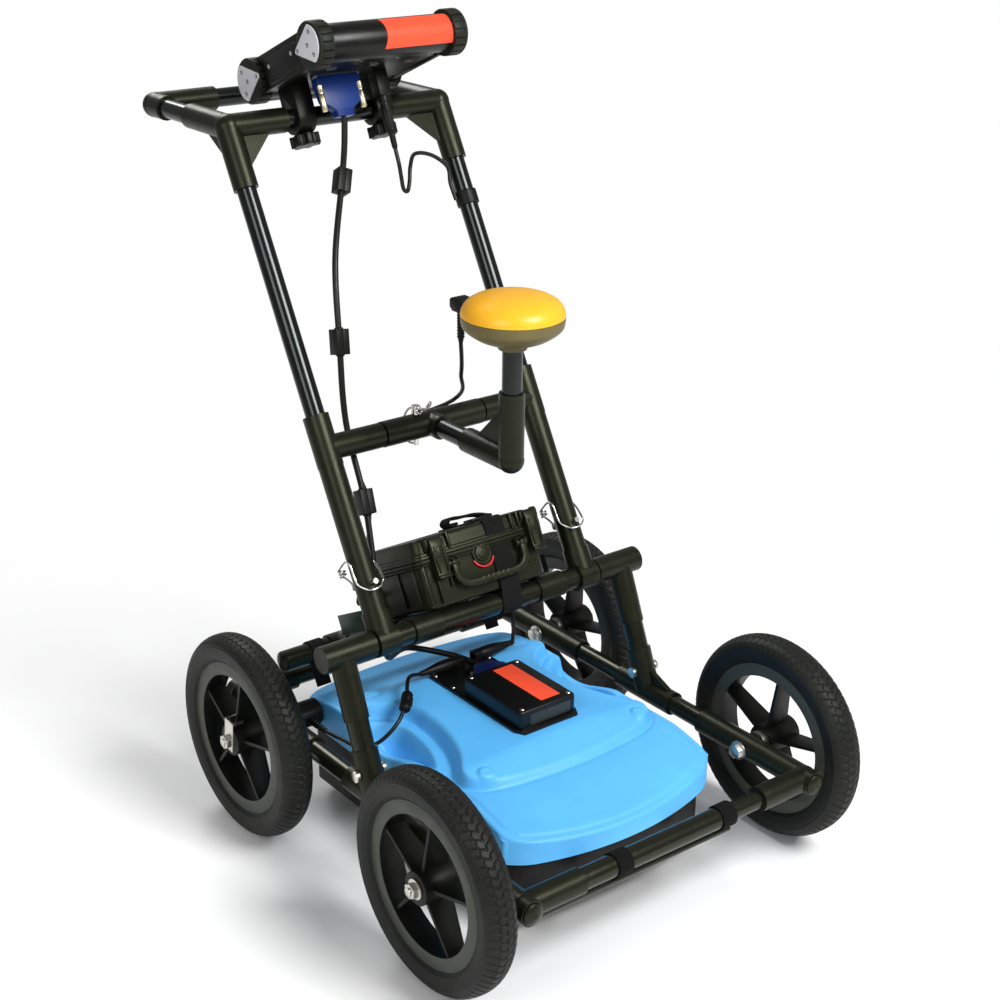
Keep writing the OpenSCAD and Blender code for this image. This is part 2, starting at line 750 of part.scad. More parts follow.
gps_points = concat([gps_start], gps_route_free, [gps_end]);
battery_start = [plug_x + side_plug_x + side_plug_length, side_plug_y, side_plug_z];
battery_end = deck_point(case_width / 2 + gland_length, gland_s, gland_h);
battery_points = concat([battery_start], battery_route_free, [battery_end]);

module cart() {
  translate([0, -cart_mid, 0]) children();
}

module both_sides() {
  children();
  mirror([1, 0, 0]) children();
}

module at_deck() {
  translate([0, cross_setback, cross_height]) rotate([-deck_tilt, 0, 0]) children();
}

module at_handle(x, h) {
  translate([x, cross_setback, cross_height]) rotate([-handle_tilt, 0, 0]) translate([0, 0, h]) children();
}

module at_console() {
  translate([0, top_y, top_z]) rotate([-console_tilt, 0, 0]) children();
}

module at_post() {
  translate([rail_x, foot_y, axle_z]) rotate([-post_tilt, 0, 0]) children();
}

module rod_x(d, from, to) {
  translate([from, 0, 0]) rotate([0, 90, 0]) cylinder(d = d, h = to - from);
}

module rod_y(d, from, to) {
  translate([0, from, 0]) rotate([-90, 0, 0]) cylinder(d = d, h = to - from);
}

module rod_z(d, from, to) {
  translate([0, 0, from]) cylinder(d = d, h = to - from);
}

module pipe(od, length) {
  difference() {
    cylinder(d = od, h = length);
    translate([0, 0, -overrun]) cylinder(d = od - 2 * tube_wall, h = length + 2 * overrun);
  }
}

module pipe_x(od, from, to) {
  translate([from, 0, 0]) rotate([0, 90, 0]) pipe(od, to - from);
}

module pipe_y(od, from, to) {
  translate([0, from, 0]) rotate([-90, 0, 0]) pipe(od, to - from);
}

module slab(x, y, z) {
  translate([x[0], y[0], z[0]]) cube([x[1] - x[0], y[1] - y[0], z[1] - z[0]]);
}

module hex(height) {
  cylinder(d = hex_flats / cos(30), h = height, $fn = 6);
}

module cap(d, h) {
  r = (d * d / 4 + h * h) / (2 * h);
  intersection() {
    translate([0, 0, h - r]) sphere(r = r);
    translate([-d, -d, 0]) cube([2 * d, 2 * d, 2 * h]);
  }
}

// A cemented fitting: legs are [turn, reach, bore]
module fitting(legs) {
  difference() {
    union() {
      sphere(d = fitting_od * ball_share);
      for (leg = legs) rotate(leg[0]) cylinder(d = fitting_od, h = leg[1]);
      children();
    }
    for (leg = legs)
      rotate(leg[0])
        translate([0, 0, socket_floor]) cylinder(d = leg[2] + 2 * glue_gap, h = leg[1]);
  }
}

// A triangular gusset between the local Y and Z directions
module gusset(y, z) {
  translate([-gusset_thick / 2, 0, 0])
    rotate([90, 0, 90]) linear_extrude(gusset_thick) polygon([[0, 0], [y, 0], [0, z]]);
}

module cable(points, d) {
  p = route(points);
  n = len(p);
  w = carry(p, 0, square_to(heading(p, 0)), []);
  dots = [for (i = [0 : n - 1]) each ring(p[i], heading(p, i), w[i], d / 2)];
  m = cable_sides;
  sides = [for (i = [0 : n - 2]) for (k = [0 : m - 1]) each [
    [i * m + k, i * m + (k + 1) % m, (i + 1) * m + k],
    [i * m + (k + 1) % m, (i + 1) * m + (k + 1) % m, (i + 1) * m + k]]];
  ends = [[for (k = [m - 1 : -1 : 0]) k], [for (k = [0 : m - 1]) (n - 1) * m + k]];
  polyhedron(points = dots, faces = [for (f = concat(sides, ends)) [for (i = [len(f) - 1 : -1 : 0]) f[i]]]);
}

// Something held on a cable, between two points of its smooth route
module on_route(points, i) {
  p = route(points);
  t = heading(p, i);
  translate(p[i]) rotate([0, acos(t[2]), atan2(t[1], t[0])]) children();
}

module axle_holes() {
  for (end = [-1, 1])
    translate([-overrun, end * wheelbase / 2, 0])
      rotate([0, 90, 0])
        cylinder(d = axle_dia + 2 * axle_gap, h = 2 * fitting_od + 2 * overrun, center = true);
}

module base_tubes() color(tube_black) cart() {
  both_sides()
    translate([rail_x, 0, axle_z])
      difference() {
        pipe_y(tube_od, -bar_y + socket_floor, bar_y - socket_floor);
        axle_holes();
      }
  translate([0, bar_y, axle_z]) pipe_x(tube_od, -rail_x + socket_floor, rail_x - socket_floor);
  translate([0, -bar_y, axle_z]) {
    rod_x(front_bar_od, -rail_x + socket_floor, rail_x - socket_floor);
    difference() {
      rod_x(front_sleeve_od, -rail_x + fitting_leg, front_sleeve_end);
      rod_x(front_bar_od + 2 * glue_gap, -rail_x, rail_x);
    }
    translate([0, 0, -tow_bar_drop])
      rod_x(tow_bar_dia, -tow_bar_offset - tow_bar_length / 2, -tow_bar_offset + tow_bar_length / 2);
  }
}

module foot_bolt_hole() {
  translate([0, foot_y + foot_bolt_rise * tan(post_tilt), foot_bolt_rise])
    rotate([0, 90, 0]) cylinder(d = foot_bolt_dia + 2 * glue_gap, h = 3 * fitting_od, center = true);
}

module corner_fittings() color(fitting_black) cart() {
  both_sides()
    for (end = [-1, 1])
      translate([rail_x, end * bar_y, axle_z])
        fitting([
          [[end * 90, 0, 0], fitting_leg, tube_od],
          [[0, -90, 0], fitting_leg, end < 0 ? front_bar_od : tube_od]])
          rotate([-end * 90, 0, 0]) cylinder(d = fitting_od, h = corner_boss);
}

module end_plugs() color(tube_black) cart() {
  both_sides() {
    for (end = [-1, 1])
      translate([rail_x, end * (bar_y + corner_boss), axle_z])
        rotate([-end * 90, 0, 0]) {
          cylinder(d = plug_dia, h = plug_flange);
          translate([0, 0, plug_flange]) cap(plug_dia, plug_dome);
        }
    at_deck()
      translate([deck_rear_length / 2, deck_depth, 0])
        rotate([0, 90, 0]) {
          cylinder(d = plug_dia, h = plug_flange);
          translate([0, 0, plug_flange]) cap(plug_dia, plug_dome);
        }
  }
}

module axle_couplings() color(fitting_black) cart() {
  outer = wheelbase / 2 + coupling_overhang;
  both_sides()
    for (end = [-1, 1])
      translate([rail_x, 0, axle_z])
        difference() {
          rotate([0, 0, end > 0 ? 0 : 180]) rod_y(fitting_od, outer - coupling_length, outer);
          rod_y(tube_od + 2 * glue_gap, -bar_y, bar_y);
          axle_holes();
        }
}

module post_feet() color(fitting_black) cart() {
  both_sides()
    translate([rail_x, foot_y, axle_z])
      difference() {
        union() {
          rod_y(fitting_od, -foot_length / 2, foot_length / 2);
          rotate([-post_tilt, 0, 0]) {
            cylinder(d = post_tee_od, h = foot_branch);
            gusset(foot_gusset, foot_gusset);
            mirror([0, 1, 0]) gusset(foot_gusset, foot_gusset);
          }
        }
        rod_y(tube_od + 2 * glue_gap, -foot_length, foot_length);
        rotate([-post_tilt, 0, 0])
          translate([0, 0, socket_floor]) cylinder(d = post_od + 2 * glue_gap, h = foot_branch);
        translate([0, -foot_y, 0]) foot_bolt_hole();
      }
}

module post_tubes() color(tube_black) cart() {
  both_sides()
    difference() {
      at_post() translate([0, 0, post_start]) pipe(post_od, post_length - post_start - socket_floor);
      translate([rail_x, 0, axle_z]) foot_bolt_hole();
    }
  translate([0, cross_setback, cross_height])
    pipe_x(post_od, -rail_x - socket_floor, rail_x + socket_floor);
}

module frame_tees() color(fitting_black) cart() {
  both_sides() {
    // Post tee with its closed outer end
    difference() {
      union() {
        translate([rail_x, cross_setback, cross_height]) rod_x(post_tee_od, -tee_inner_reach, tee_cap_reach);
        at_post()
          translate([0, 0, post_length - post_branch])
            cylinder(d = post_tee_od * branch_share, h = post_branch);
      }
      translate([0, cross_setback, cross_height])
        rod_x(post_od + 2 * glue_gap, 0, rail_x + socket_floor);
      at_post() translate([0, 0, post_length - 2 * post_branch])
        cylinder(d = post_od + 2 * glue_gap, h = 2 * post_branch - socket_floor);
    }
    // Socket tee that holds the handle
    at_handle(handle_x, 0)
      difference() {
        union() {
          rod_x(socket_od, -socket_tee_width / 2, socket_tee_width / 2);
          cylinder(d = socket_od * branch_share, h = socket_reach);
        }
        rod_x(post_od + 2 * glue_gap, -fitting_leg, fitting_leg);
        translate([0, 0, socket_floor]) cylinder(d = sleeve_od + 2 * glue_gap, h = socket_reach);
      }
    // Deck tees
    at_deck()
      for (end = [0, 1])
        translate([deck_spacing / 2, end * deck_depth, 0])
          difference() {
            union() {
              rod_x(post_tee_od, -deck_tee_width / 2, deck_tee_width / 2);
              rotate([end * 180 - 90, 0, 0]) cylinder(d = post_tee_od * branch_share, h = deck_tee_reach);
            }
            rod_x(post_od + 2 * glue_gap, -fitting_leg, fitting_leg);
            rotate([end * 180 - 90, 0, 0])
              translate([0, 0, socket_floor]) cylinder(d = post_od + 2 * glue_gap, h = deck_tee_reach);
          }
  }
}

module lock_hole(od) {
  rotate([90, 0, 0]) cylinder(d = pin_dia + 2 * pin_gap, h = 2 * od, center = true);
}

module handle_sleeves() color(tube_black) cart() {
  both_sides()
    difference() {
      at_handle(handle_x, socket_floor)
        difference() {
          cylinder(d = sleeve_od, h = crossbar_distance - crossbar_tee_below - socket_floor);
          translate([0, 0, -overrun]) cylinder(d = tube_od + 2 * sleeve_gap, h = crossbar_distance);
        }
      at_handle(handle_x, pin_distance) lock_hole(sleeve_od);
    }
}

module deck_tubes() color(tube_black) cart() {
  at_deck() {
    both_sides()
      translate([deck_spacing / 2, 0, 0]) pipe_y(post_od, socket_floor, deck_depth - socket_floor);
    translate([0, deck_depth, 0]) pipe_x(post_od, -deck_rear_length / 2, deck_rear_length / 2);
  }
}

module case_tray() color([0.1, 0.14, 0.1]) cart() {
  at_deck()
    translate([0, tray_start, post_od / 2]) {
      translate([-case_width / 2, 0, 0]) cube([case_width, tray_length, tray_thick]);
      translate([-tray_width / 2, 0, 0]) cube([tray_width, tray_length * tray_share, tray_thick]);
      both_sides()
        translate([tray_width / 2 - tray_thick, 0, 0])
          cube([tray_thick, tray_length * tray_share, tray_flange]);
    }
}

module frame_bolts() color([0.6, 0.6, 0.62]) cart() {
  inner = rail_x - fitting_od / 2;
  outer = hub_out + side_play;
  for (side = [-1, 1])
    for (end = [-1, 1])
      translate([0, end * wheelbase / 2, axle_z])
        mirror([side < 0 ? 1 : 0, 0, 0]) {
          difference() {
            rod_x(spacer_dia, rail_x + fitting_od / 2, hub_in - side_play);
            rod_x(axle_dia + 2 * axle_gap, 0, track);
          }
          if (side > 0 || end < 0) {
            rod_x(axle_dia, inner - overrun, outer + washer_thick + hex_height + axle_tail);
            rod_x(washer_dia, inner - washer_thick, inner);
            translate([inner - washer_thick - hex_height, 0, 0]) rotate([0, 90, 0]) hex(hex_height);
            rod_x(washer_dia, outer, outer + washer_thick);
            translate([outer + washer_thick, 0, 0]) rotate([0, 90, 0]) hex(hex_height);
          }
        }
  both_sides()
    translate([rail_x, foot_y + foot_bolt_rise * tan(post_tilt), axle_z + foot_bolt_rise]) {
      rod_x(foot_bolt_dia, -post_tee_od / 2 - overrun, post_tee_od / 2 + overrun);
      for (side = [0, 1])
        mirror([side, 0, 0])
          rod_x(2 * foot_bolt_dia, post_tee_od / 2, post_tee_od / 2 + foot_bolt_dia * bolt_head_share);
    }
}

module handle_tees() color(fitting_black) cart() {
  both_sides()
    at_handle(handle_x, crossbar_distance)
      difference() {
        union() {
          rod_z(sleeve_od * ball_share, -crossbar_tee_below, crossbar_tee_above);
          rotate([0, -90, 0]) cylinder(d = fitting_od, h = fitting_leg);
        }
        rod_z(tube_od + 2 * sleeve_gap, -fitting_leg, fitting_leg);
        rotate([0, -90, 0])
          translate([0, 0, socket_floor]) cylinder(d = tube_od + 2 * glue_gap, h = fitting_leg);
      }
  translate([0, mid_y, mid_z])
    difference() {
      union() {
        rod_x(fitting_od * ball_share, -mid_tee_reach, mid_tee_reach);
        rotate([90, 0, 0]) cylinder(d = fitting_od, h = mid_tee_branch);
      }
      rod_x(tube_od + 2 * glue_gap, -fitting_leg, -socket_floor * stub_share);
      rod_x(tube_od + 2 * glue_gap, socket_floor * stub_share, fitting_leg);
      rotate([90, 0, 0])
        translate([0, 0, -socket_floor * arm_end_share])
          cylinder(d = tube_od + 2 * glue_gap, h = fitting_leg);
      translate([-gps_pin_offset, 0, 0]) rod_z(pin_dia + 2 * pin_gap, -fitting_od, fitting_od);
    }
}

module upper_tubes() color(tube_black) cart() {
  both_sides() {
    difference() {
      at_handle(handle_x, upper_start) pipe(tube_od, handle_length - upper_start - socket_floor);
      at_handle(handle_x, pin_distance) lock_hole(sleeve_od);
    }
    translate([handle_x, 0, top_z]) pipe_y(tube_od, top_y + socket_floor, grip_y - socket_floor);
  }
  difference() {
    translate([0, mid_y, mid_z])
      both_sides() pipe_x(tube_od, socket_floor * stub_share, handle_x - socket_floor);
    translate([-gps_pin_offset, mid_y, mid_z]) rod_z(pin_dia + 2 * pin_gap, -fitting_od, fitting_od);
  }
  translate([0, top_y, top_z]) pipe_x(tube_od, -handle_x + socket_floor, handle_x - socket_floor);
  translate([0, grip_y, top_z]) pipe_x(tube_od, -handle_x + socket_floor, handle_x - socket_floor);
}

module handle_corners() color(fitting_black) cart() {
  both_sides()
    translate([handle_x, top_y, top_z])
      fitting([
        [[180 - handle_tilt, 0, 0], fitting_leg, tube_od],
        [[-90, 0, 0], corner_arm_leg, tube_od],
        [[0, -90, 0], fitting_leg, tube_od]]) {
        rotate([180 - handle_tilt, 0, 0]) rotate([0, 0, 90]) gusset(corner_gusset, corner_gusset);
        translate([-gusset_thick / 2, 0, 0])
          rotate([90, 0, 90])
            linear_extrude(gusset_thick)
              polygon([[0, 0], [corner_gusset, 0],
                [-corner_gusset * sin(handle_tilt), -corner_gusset * cos(handle_tilt)]]);
      }
}

module elbows() color(fitting_black) cart() {
  both_sides()
    translate([handle_x, grip_y, top_z])
      fitting([
        [[90, 0, 0], elbow_arm_leg, tube_od],
        [[0, -90, 0], elbow_bar_leg, tube_od]]);
  translate([0, mast_y, mid_z])
    fitting([
      [[0, 0, 0], gps_leg, tube_od],
      [[-90, 0, 0], gps_leg, tube_od]])
      gusset(gps_leg * gps_gusset_share, gps_leg * gps_gusset_share);
}

// A lock pin along the local Y direction, its head at +Y
module lock_pin(od) {
  difference() {
    union() {
      rod_y(pin_dia, -od / 2 - pin_tip, od / 2 + overrun);
      rod_y(pin_head_dia, od / 2 + overrun, od / 2 + overrun + pin_head);
    }
    translate([0, od / 2 + overrun + pin_head / 2, 0])
      rod_x(bail_wire + 2 * bail_gap, -pin_head_dia, pin_head_dia);
  }
}

// The wire bail of a lock pin: it turns in the head and closes under the pin's tip
module bail(od) {
  half = od / 2 + bail_side + bail_wire / 2;
  pivot = od / 2 + overrun + pin_head / 2;
  front = -od / 2 - pin_tip * bail_share;
  reach = norm([pivot - front, bail_set]);
  lean = atan2(bail_set, pivot - front);
  translate([0, pivot, 0])
    rotate([lean, 0, 0]) {
      rod_x(bail_wire, -half, half);
      for (side = [-1, 1])
        translate([side * half, 0, 0]) {
          sphere(d = bail_wire * ball_share, $fn = 24);
          rod_y(bail_wire * branch_share, -reach, 0);
          translate([0, -reach, 0]) sphere(d = bail_wire * ball_share, $fn = 24);
        }
      translate([0, -reach, 0]) rod_x(bail_wire, -half, half);
    }
}

module at_gps_pin() {
  translate([-gps_pin_offset, mid_y, mid_z]) rotate([90, 0, 90]) children();
}

module lock_pins() color(zinc) cart() {
  for (side = [-1, 1]) at_handle(side * handle_x, pin_distance) lock_pin(sleeve_od);
  at_gps_pin() lock_pin(fitting_od * ball_share);
}

module bail_left() color(wire_grey) cart() at_handle(-handle_x, pin_distance) bail(sleeve_od);

module bail_right() color(wire_grey) cart() at_handle(handle_x, pin_distance) bail(sleeve_od);

module bail_gps() color(wire_grey) cart() at_gps_pin() bail(fitting_od * ball_share);

module gps_tubes() color(tube_black) cart() {
  translate([0, 0, mid_z]) pipe_y(tube_od, mast_y + socket_floor, mid_y + socket_floor * arm_end_share);
  translate([0, mast_y, mid_z + socket_floor]) pipe(tube_od, gps_rise - gps_boss - socket_floor);
}

module gps_base() color([0.22, 0.22, 0.12]) cart() {
  translate([0, mast_y, gps_z]) {
    rotate_extrude()
      polygon([for (p = base_shares) [p[0] * gps_dia / 2, p[1] * gps_base_height]]);
    translate([0, 0, -gps_boss]) cylinder(d = gps_boss_dia, h = gps_boss + overrun);
  }
}

module gps_dome() color([0.9, 0.6, 0.1]) cart() {
  translate([0, mast_y, gps_z + gps_base_height])
    rotate_extrude()
      polygon(concat([[0, 0]], [for (p = dome_shares) [p[0] * gps_dia / 2, p[1] * gps_dome_height]]));
}

module antenna_plan(inset) {
  half = shell_length / 2 - inset;
  intersection() {
    square([shell_width - 2 * inset, shell_length], center = true);
    translate([0, shell_bow - half]) circle(r = shell_bow, $fn = 120);
    translate([0, half - shell_bow]) circle(r = shell_bow, $fn = 120);
    rotate(45)
      square((shell_width / 2 - inset + half - bow_drop(shell_width, shell_bow) - shell_corner) * sqrt(2),
        center = true);
  }
}

module raised_plan() {
  half = raised_length / 2;
  intersection() {
    square([raised_width, raised_length], center = true);
    translate([0, raised_bow - half]) circle(r = raised_bow, $fn = 160);
    translate([0, half - raised_bow]) circle(r = raised_bow, $fn = 160);
    rotate(45)
      square((raised_width / 2 + half - bow_drop(raised_width, raised_bow) - shell_corner) * sqrt(2),
        center = true);
  }
}

// A lengthwise profile across the whole shell
module profile(points) {
  translate([-shell_width, 0, 0]) rotate([90, 0, 90]) linear_extrude(2 * shell_width) polygon(points);
}

module antenna_shell() color([0.35, 0.62, 0.85]) cart() {
  half = shell_length / 2;
  high = half * slope_share;
  long = raised_length / 2;
  flat = flat_length / 2;
  boss = boss_spacing / 2;
  translate([0, shell_setback, 0])
    difference() {
      union() {
        intersection() {
          translate([0, 0, shell_bottom]) linear_extrude(flat_z) antenna_plan(0);
          profile([[-half, shell_bottom], [half, shell_bottom], [half, lip_z], [high, rim_z], [-high, rim_z],
            [-half, lip_z]]);
        }
        intersection() {
          translate([0, 0, lip_z]) linear_extrude(flat_z) raised_plan();
          profile([[-long, lip_z], [long, lip_z], [long, raised_z], [flat, flat_z], [-flat, flat_z],
            [-long, raised_z]]);
        }
        for (side = [-1, 1])
          for (end = [-1, 1])
            translate([side * boss, end * boss_pitch / 2, lip_z])
              cylinder(d = boss_dia, h = raised_z - lip_z + flat_rise / 2 + boss_height / 2);
      }
      translate([0, 0, shell_bottom - overrun])
        linear_extrude(flat_z - shell_bottom - 2 * shell_wall)
          square([plate_width, flat_length - 4 * shell_wall], center = true);
      both_sides()
        translate([shell_width / 2 - scoop_inset, scoop_setback, shell_bottom + scoop_height])
          cylinder(r1 = scoop_floor, r2 = scoop_top, h = flat_z - shell_bottom - scoop_height + overrun);
    }
}

module antenna_skid() color([0.03, 0.03, 0.03]) cart() {
  half = shell_length / 2;
  translate([0, shell_setback, 0])
    difference() {
      intersection() {
        translate([0, 0, skid_clearance])
          linear_extrude(shell_bottom - skid_clearance) antenna_plan(skid_inset);
        profile([[-half, shell_bottom], [half, shell_bottom], [half, skid_clearance + skid_bevel],
          [half - skid_bevel, skid_clearance], [-half + skid_bevel, skid_clearance],
          [-half, skid_clearance + skid_bevel]]);
      }
      translate([0, 0, skid_clearance + shell_wall])
        linear_extrude(shell_bottom) antenna_plan(skid_bevel);
    }
}

module antenna_straps() color(soft_black) cart() {
  // Front slings round the front bar, down to the skid's front
  for (x = [-sling_x, sling_x])
    translate([x, -bar_y, axle_z])
      difference() {
        union() {
          rod_x(front_sleeve_od + 2 * strap_thick, -sling_width / 2, sling_width / 2);
          translate([-sling_width / 2, 0, -front_sleeve_od / 2 - strap_thick])
            cube([sling_width, bar_y - shell_length / 2 + shell_setback + fitting_od, strap_thick]);
        }
        rod_x(front_sleeve_od + 2 * glue_gap, -fitting_leg, fitting_leg);
        translate([0, bar_y + shell_setback, -axle_z + shell_bottom])
          linear_extrude(shell_lip + shell_slope) antenna_plan(-glue_gap);
      }
  // Rear hangers from the deck's rear tube to the shell
  both_sides()
    difference() {
      at_deck()
        translate([hanger_x, deck_depth, 0]) {
          rod_x(post_od + 2 * strap_thick, -sling_width / 2, sling_width / 2);
          slab([-sling_width / 2, sling_width / 2], [-strap_thick, strap_thick],
            [-fitting_leg, -post_od / 2]);
        }
      at_deck() translate([0, deck_depth, 0]) rod_x(post_od + 2 * glue_gap, 0, deck_rear_length);
      translate([0, shell_setback, 0]) rotate([90, 0, 90]) linear_extrude(shell_width)
        polygon([[0, 0], [shell_length / 2 + overrun, 0], [shell_length / 2 + overrun, lip_z],
          [shell_length / 2 * slope_share, rim_z], [0, rim_z]]);
    }
}

module radar_box() color(tube_black) cart() {
  translate([radar_offset, 0, 0]) {
    slab([-plate_width / 2, plate_width / 2], [plate_front, plate_front + plate_length], [flat_z, plate_top]);
    slab([-radar_width / 2, radar_width / 2], [radar_front, radar_rear],
      [plate_top - plate_thick / 2, plate_top + radar_height]);
    for (x = [-1, 1])
      for (y = [radar_front + radar_screw_inset, radar_rear - radar_screw_inset])
        translate([x * (radar_width / 2 - radar_screw_inset), y, plate_top + radar_height - overrun])
          cylinder(d = radar_screw, h = screw_head + overrun);
  }
}

module radar_plugs() {
  color(plug_blue) cart()
    translate([plug_x, radar_rear, plate_top])
      slab([-blue_plug_width / 2, blue_plug_width / 2], [0, blue_plug_length], [0, blue_plug_thick]);
  color(rim_black) cart()
    translate([plug_x, side_plug_y, side_plug_z])
      both_sides() {
        slab([side_plug_gap, side_plug_x + overrun], [-side_plug_dia / 2, side_plug_dia / 2],
          [-side_plug_dia / 2, side_plug_dia / 2]);
        rod_x(side_plug_dia * branch_share, side_plug_x, side_plug_x + side_plug_length);
      }
}

module relief(d, length) {
  cylinder(d = d * relief_shares[0], h = length);
  step = length / (relief_ribs + 1);
  for (i = [0 : relief_ribs - 1])
    translate([0, 0, i * step])
      cylinder(d = d * (1 - i * relief_shares[1]), h = step * relief_shares[2]);
}

module encoder() color([0.05, 0.05, 0.06]) cart() {
  bracket = encoder_dia * bracket_share;
  translate([encoder_face, wheelbase / 2, axle_z])
    difference() {
      union() {
        rod_x(encoder_dia, 0, encoder_length);
        slab([-fitting_od / 4, encoder_length / 4], [-bracket, bracket], [-bracket, bracket]);
        translate([encoder_length / 2, -encoder_dia / 2 + overrun, 0])
          rotate([90, 0, 0]) relief(relief_dia, relief_length + overrun);
      }
      translate([-fitting_od / 2, 0, 0]) rod_y(fitting_od, -fitting_leg, fitting_leg);
      rod_x(axle_dia + 2 * axle_gap, -fitting_od, encoder_length - encoder_end);
    }
}

module drive_axle() color(zinc) cart() {
  translate([0, wheelbase / 2, axle_z]) {
    rod_x(axle_dia, -hub_out - side_play - washer_thick - hex_height - axle_tail,
      encoder_face + encoder_length - encoder_end - overrun);
    translate([-hub_out - dog_thick - hex_height, 0, 0]) rotate([0, 90, 0]) hex(hex_height);
    difference() {
      union() {
        rotate([wheel_turn, 0, 0])
          slab([-hub_out - dog_thick, -hub_out], [-dog_width / 2, dog_width / 2],
            [-dog_width * 2 / 3, dog_reach]);
        for (s = [-1, 1])
          rotate([wheel_turn, 0, 0])
            translate([0, s * (dog_width - dog_thick) / 2, 0])
              slab([-hub_out - dog_thick, -hub_out - dog_thick + dog_tab], [-dog_thick / 2, dog_thick / 2],
                [dog_reach - dog_prong, dog_reach]);
      }
      rod_x(axle_dia * branch_share, -track, 0);
    }
  }
}

module tyre() {
  base = rim_dia / 2;
  high = tyre_dia / 2 - base;
  n = len(tyre_shares);
  rotate([0, 90, 0])
    rotate_extrude($fn = 96)
      polygon(concat(
        [for (p = tyre_shares) [base + p[0] * high, p[1] * tyre_width / 2]],
        [for (i = [n - 1 : -1 : 0]) [base + tyre_shares[i][0] * high, -tyre_shares[i][1] * tyre_width / 2]]));
}

// A rim whose outer face looks to +X
module rim() {
  difference() {
    union() {
      rotate([0, 90, 0]) {
        difference() {
          cylinder(d = rim_dia, h = rim_width, center = true, $fn = 96);
          cylinder(d = rim_inner_dia, h = 2 * rim_width, center = true, $fn = 96);
        }
        cylinder(d = hub_dia, h = hub_length, center = true);
      }
      for (i = [0 : spoke_count - 1]) rotate([wheel_turn + i * 360 / spoke_count, 0, 0]) spoke();
    }
    rotate([0, 90, 0]) cylinder(d = axle_dia + 2 * axle_gap, h = 2 * hub_length, center = true);
  }
}

// A thin blade from the hub to the rim, deep along the axle
module spoke() {
  from = hub_dia / 4;
  to = rim_inner_dia / 2 + (rim_dia - rim_inner_dia) / 8;
  translate([0, spoke_thick / 2, 0])
    rotate([90, 0, 0])
      linear_extrude(spoke_thick)
        polygon([[-spoke_hub_depth / 2, from], [spoke_hub_depth / 2, from], [spoke_rim_depth / 2, to],
          [-spoke_rim_depth / 2, to]]);
}

module at_wheel(side, end) {
  translate([side * track / 2, end * wheelbase / 2, axle_z]) mirror([side < 0 ? 1 : 0, 0, 0]) children();
}

module tyre_fl() color(soft_black) cart() at_wheel(-1, -1) tyre();

module tyre_fr() color(soft_black) cart() at_wheel(1, -1) tyre();

module tyre_rl() color(soft_black) cart() at_wheel(-1, 1) tyre();

module tyre_rr() color(soft_black) cart() at_wheel(1, 1) tyre();

module rim_fl() color(rim_black) cart() at_wheel(-1, -1) rim();

module rim_fr() color(rim_black) cart() at_wheel(1, -1) rim();

module rim_rl() color(rim_black) cart() at_wheel(-1, 1) rim();

module rim_rr() color(rim_black) cart() at_wheel(1, 1) rim();

module case_base() color(soft_black) cart() at_deck() {
  wide = case_width / 2;
  difference() {
    union() {
      slab([-wide, wide], [case_front, case_rear], [case_bottom, case_joint]);
      slab([-wide - case_lip, wide + case_lip], [case_front - case_lip, case_rear + case_lip / 2],
        [case_joint - case_lip_height, case_joint]);
      // Carry handle lugs
      for (x = [-grip_left_x, grip_right_x])
        translate([x, 0, 0])
          for (side = [-1, 1])
            translate([side * (grip_width / 2 + lid_gap + grip_pin / 2), 0, 0])
              slab([-grip_pin / 2, grip_pin / 2], [grip_pivot_s - grip_pin / 2, case_front + overrun],
                [grip_pivot_h - grip_pin, grip_pivot_h + grip_pin]);
      for (x = [-grip_left_x, grip_right_x])
        translate([x, grip_pivot_s, grip_pivot_h])
          rod_x(grip_pin - 2 * axle_gap, -grip_width / 2 - grip_pin, grip_width / 2 + grip_pin);
      // Pressure valve
      translate([0, case_front, case_bottom + case_base_height * valve_share])
        rod_y(valve_dia, -valve_height, overrun);
      // Cable glands
      both_sides() translate([wide, gland_s, gland_h]) rod_x(gland_dia, -overrun, gland_length);
      // Outer knuckles of the lid hinges with their pins
      both_sides() {
        translate([0, hinge_s, hinge_h]) {
          rod_x(knuckle_dia, hinge_split, hinge_split + knuckle_length);
          rod_x(hinge_pin, hinge_x, hinge_split + overrun);
        }
        slab([hinge_split, hinge_split + knuckle_length], [case_rear - overrun, hinge_s],
          [case_joint - case_lip_height, case_joint]);
      }
    }
    slab([-wide + case_wall, wide - case_wall], [case_front + case_wall, case_rear - case_wall],
      [case_bottom + case_wall, case_joint + overrun]);
  }
}

module battery() color([0.15, 0.15, 0.16]) cart() at_deck() {
  wide = case_width / 2 - case_wall - battery_gap;
  slab([-wide, wide], [case_front + case_wall + battery_gap, case_rear - case_wall - battery_gap],
    [case_bottom + case_wall, case_joint - battery_gap]);
}

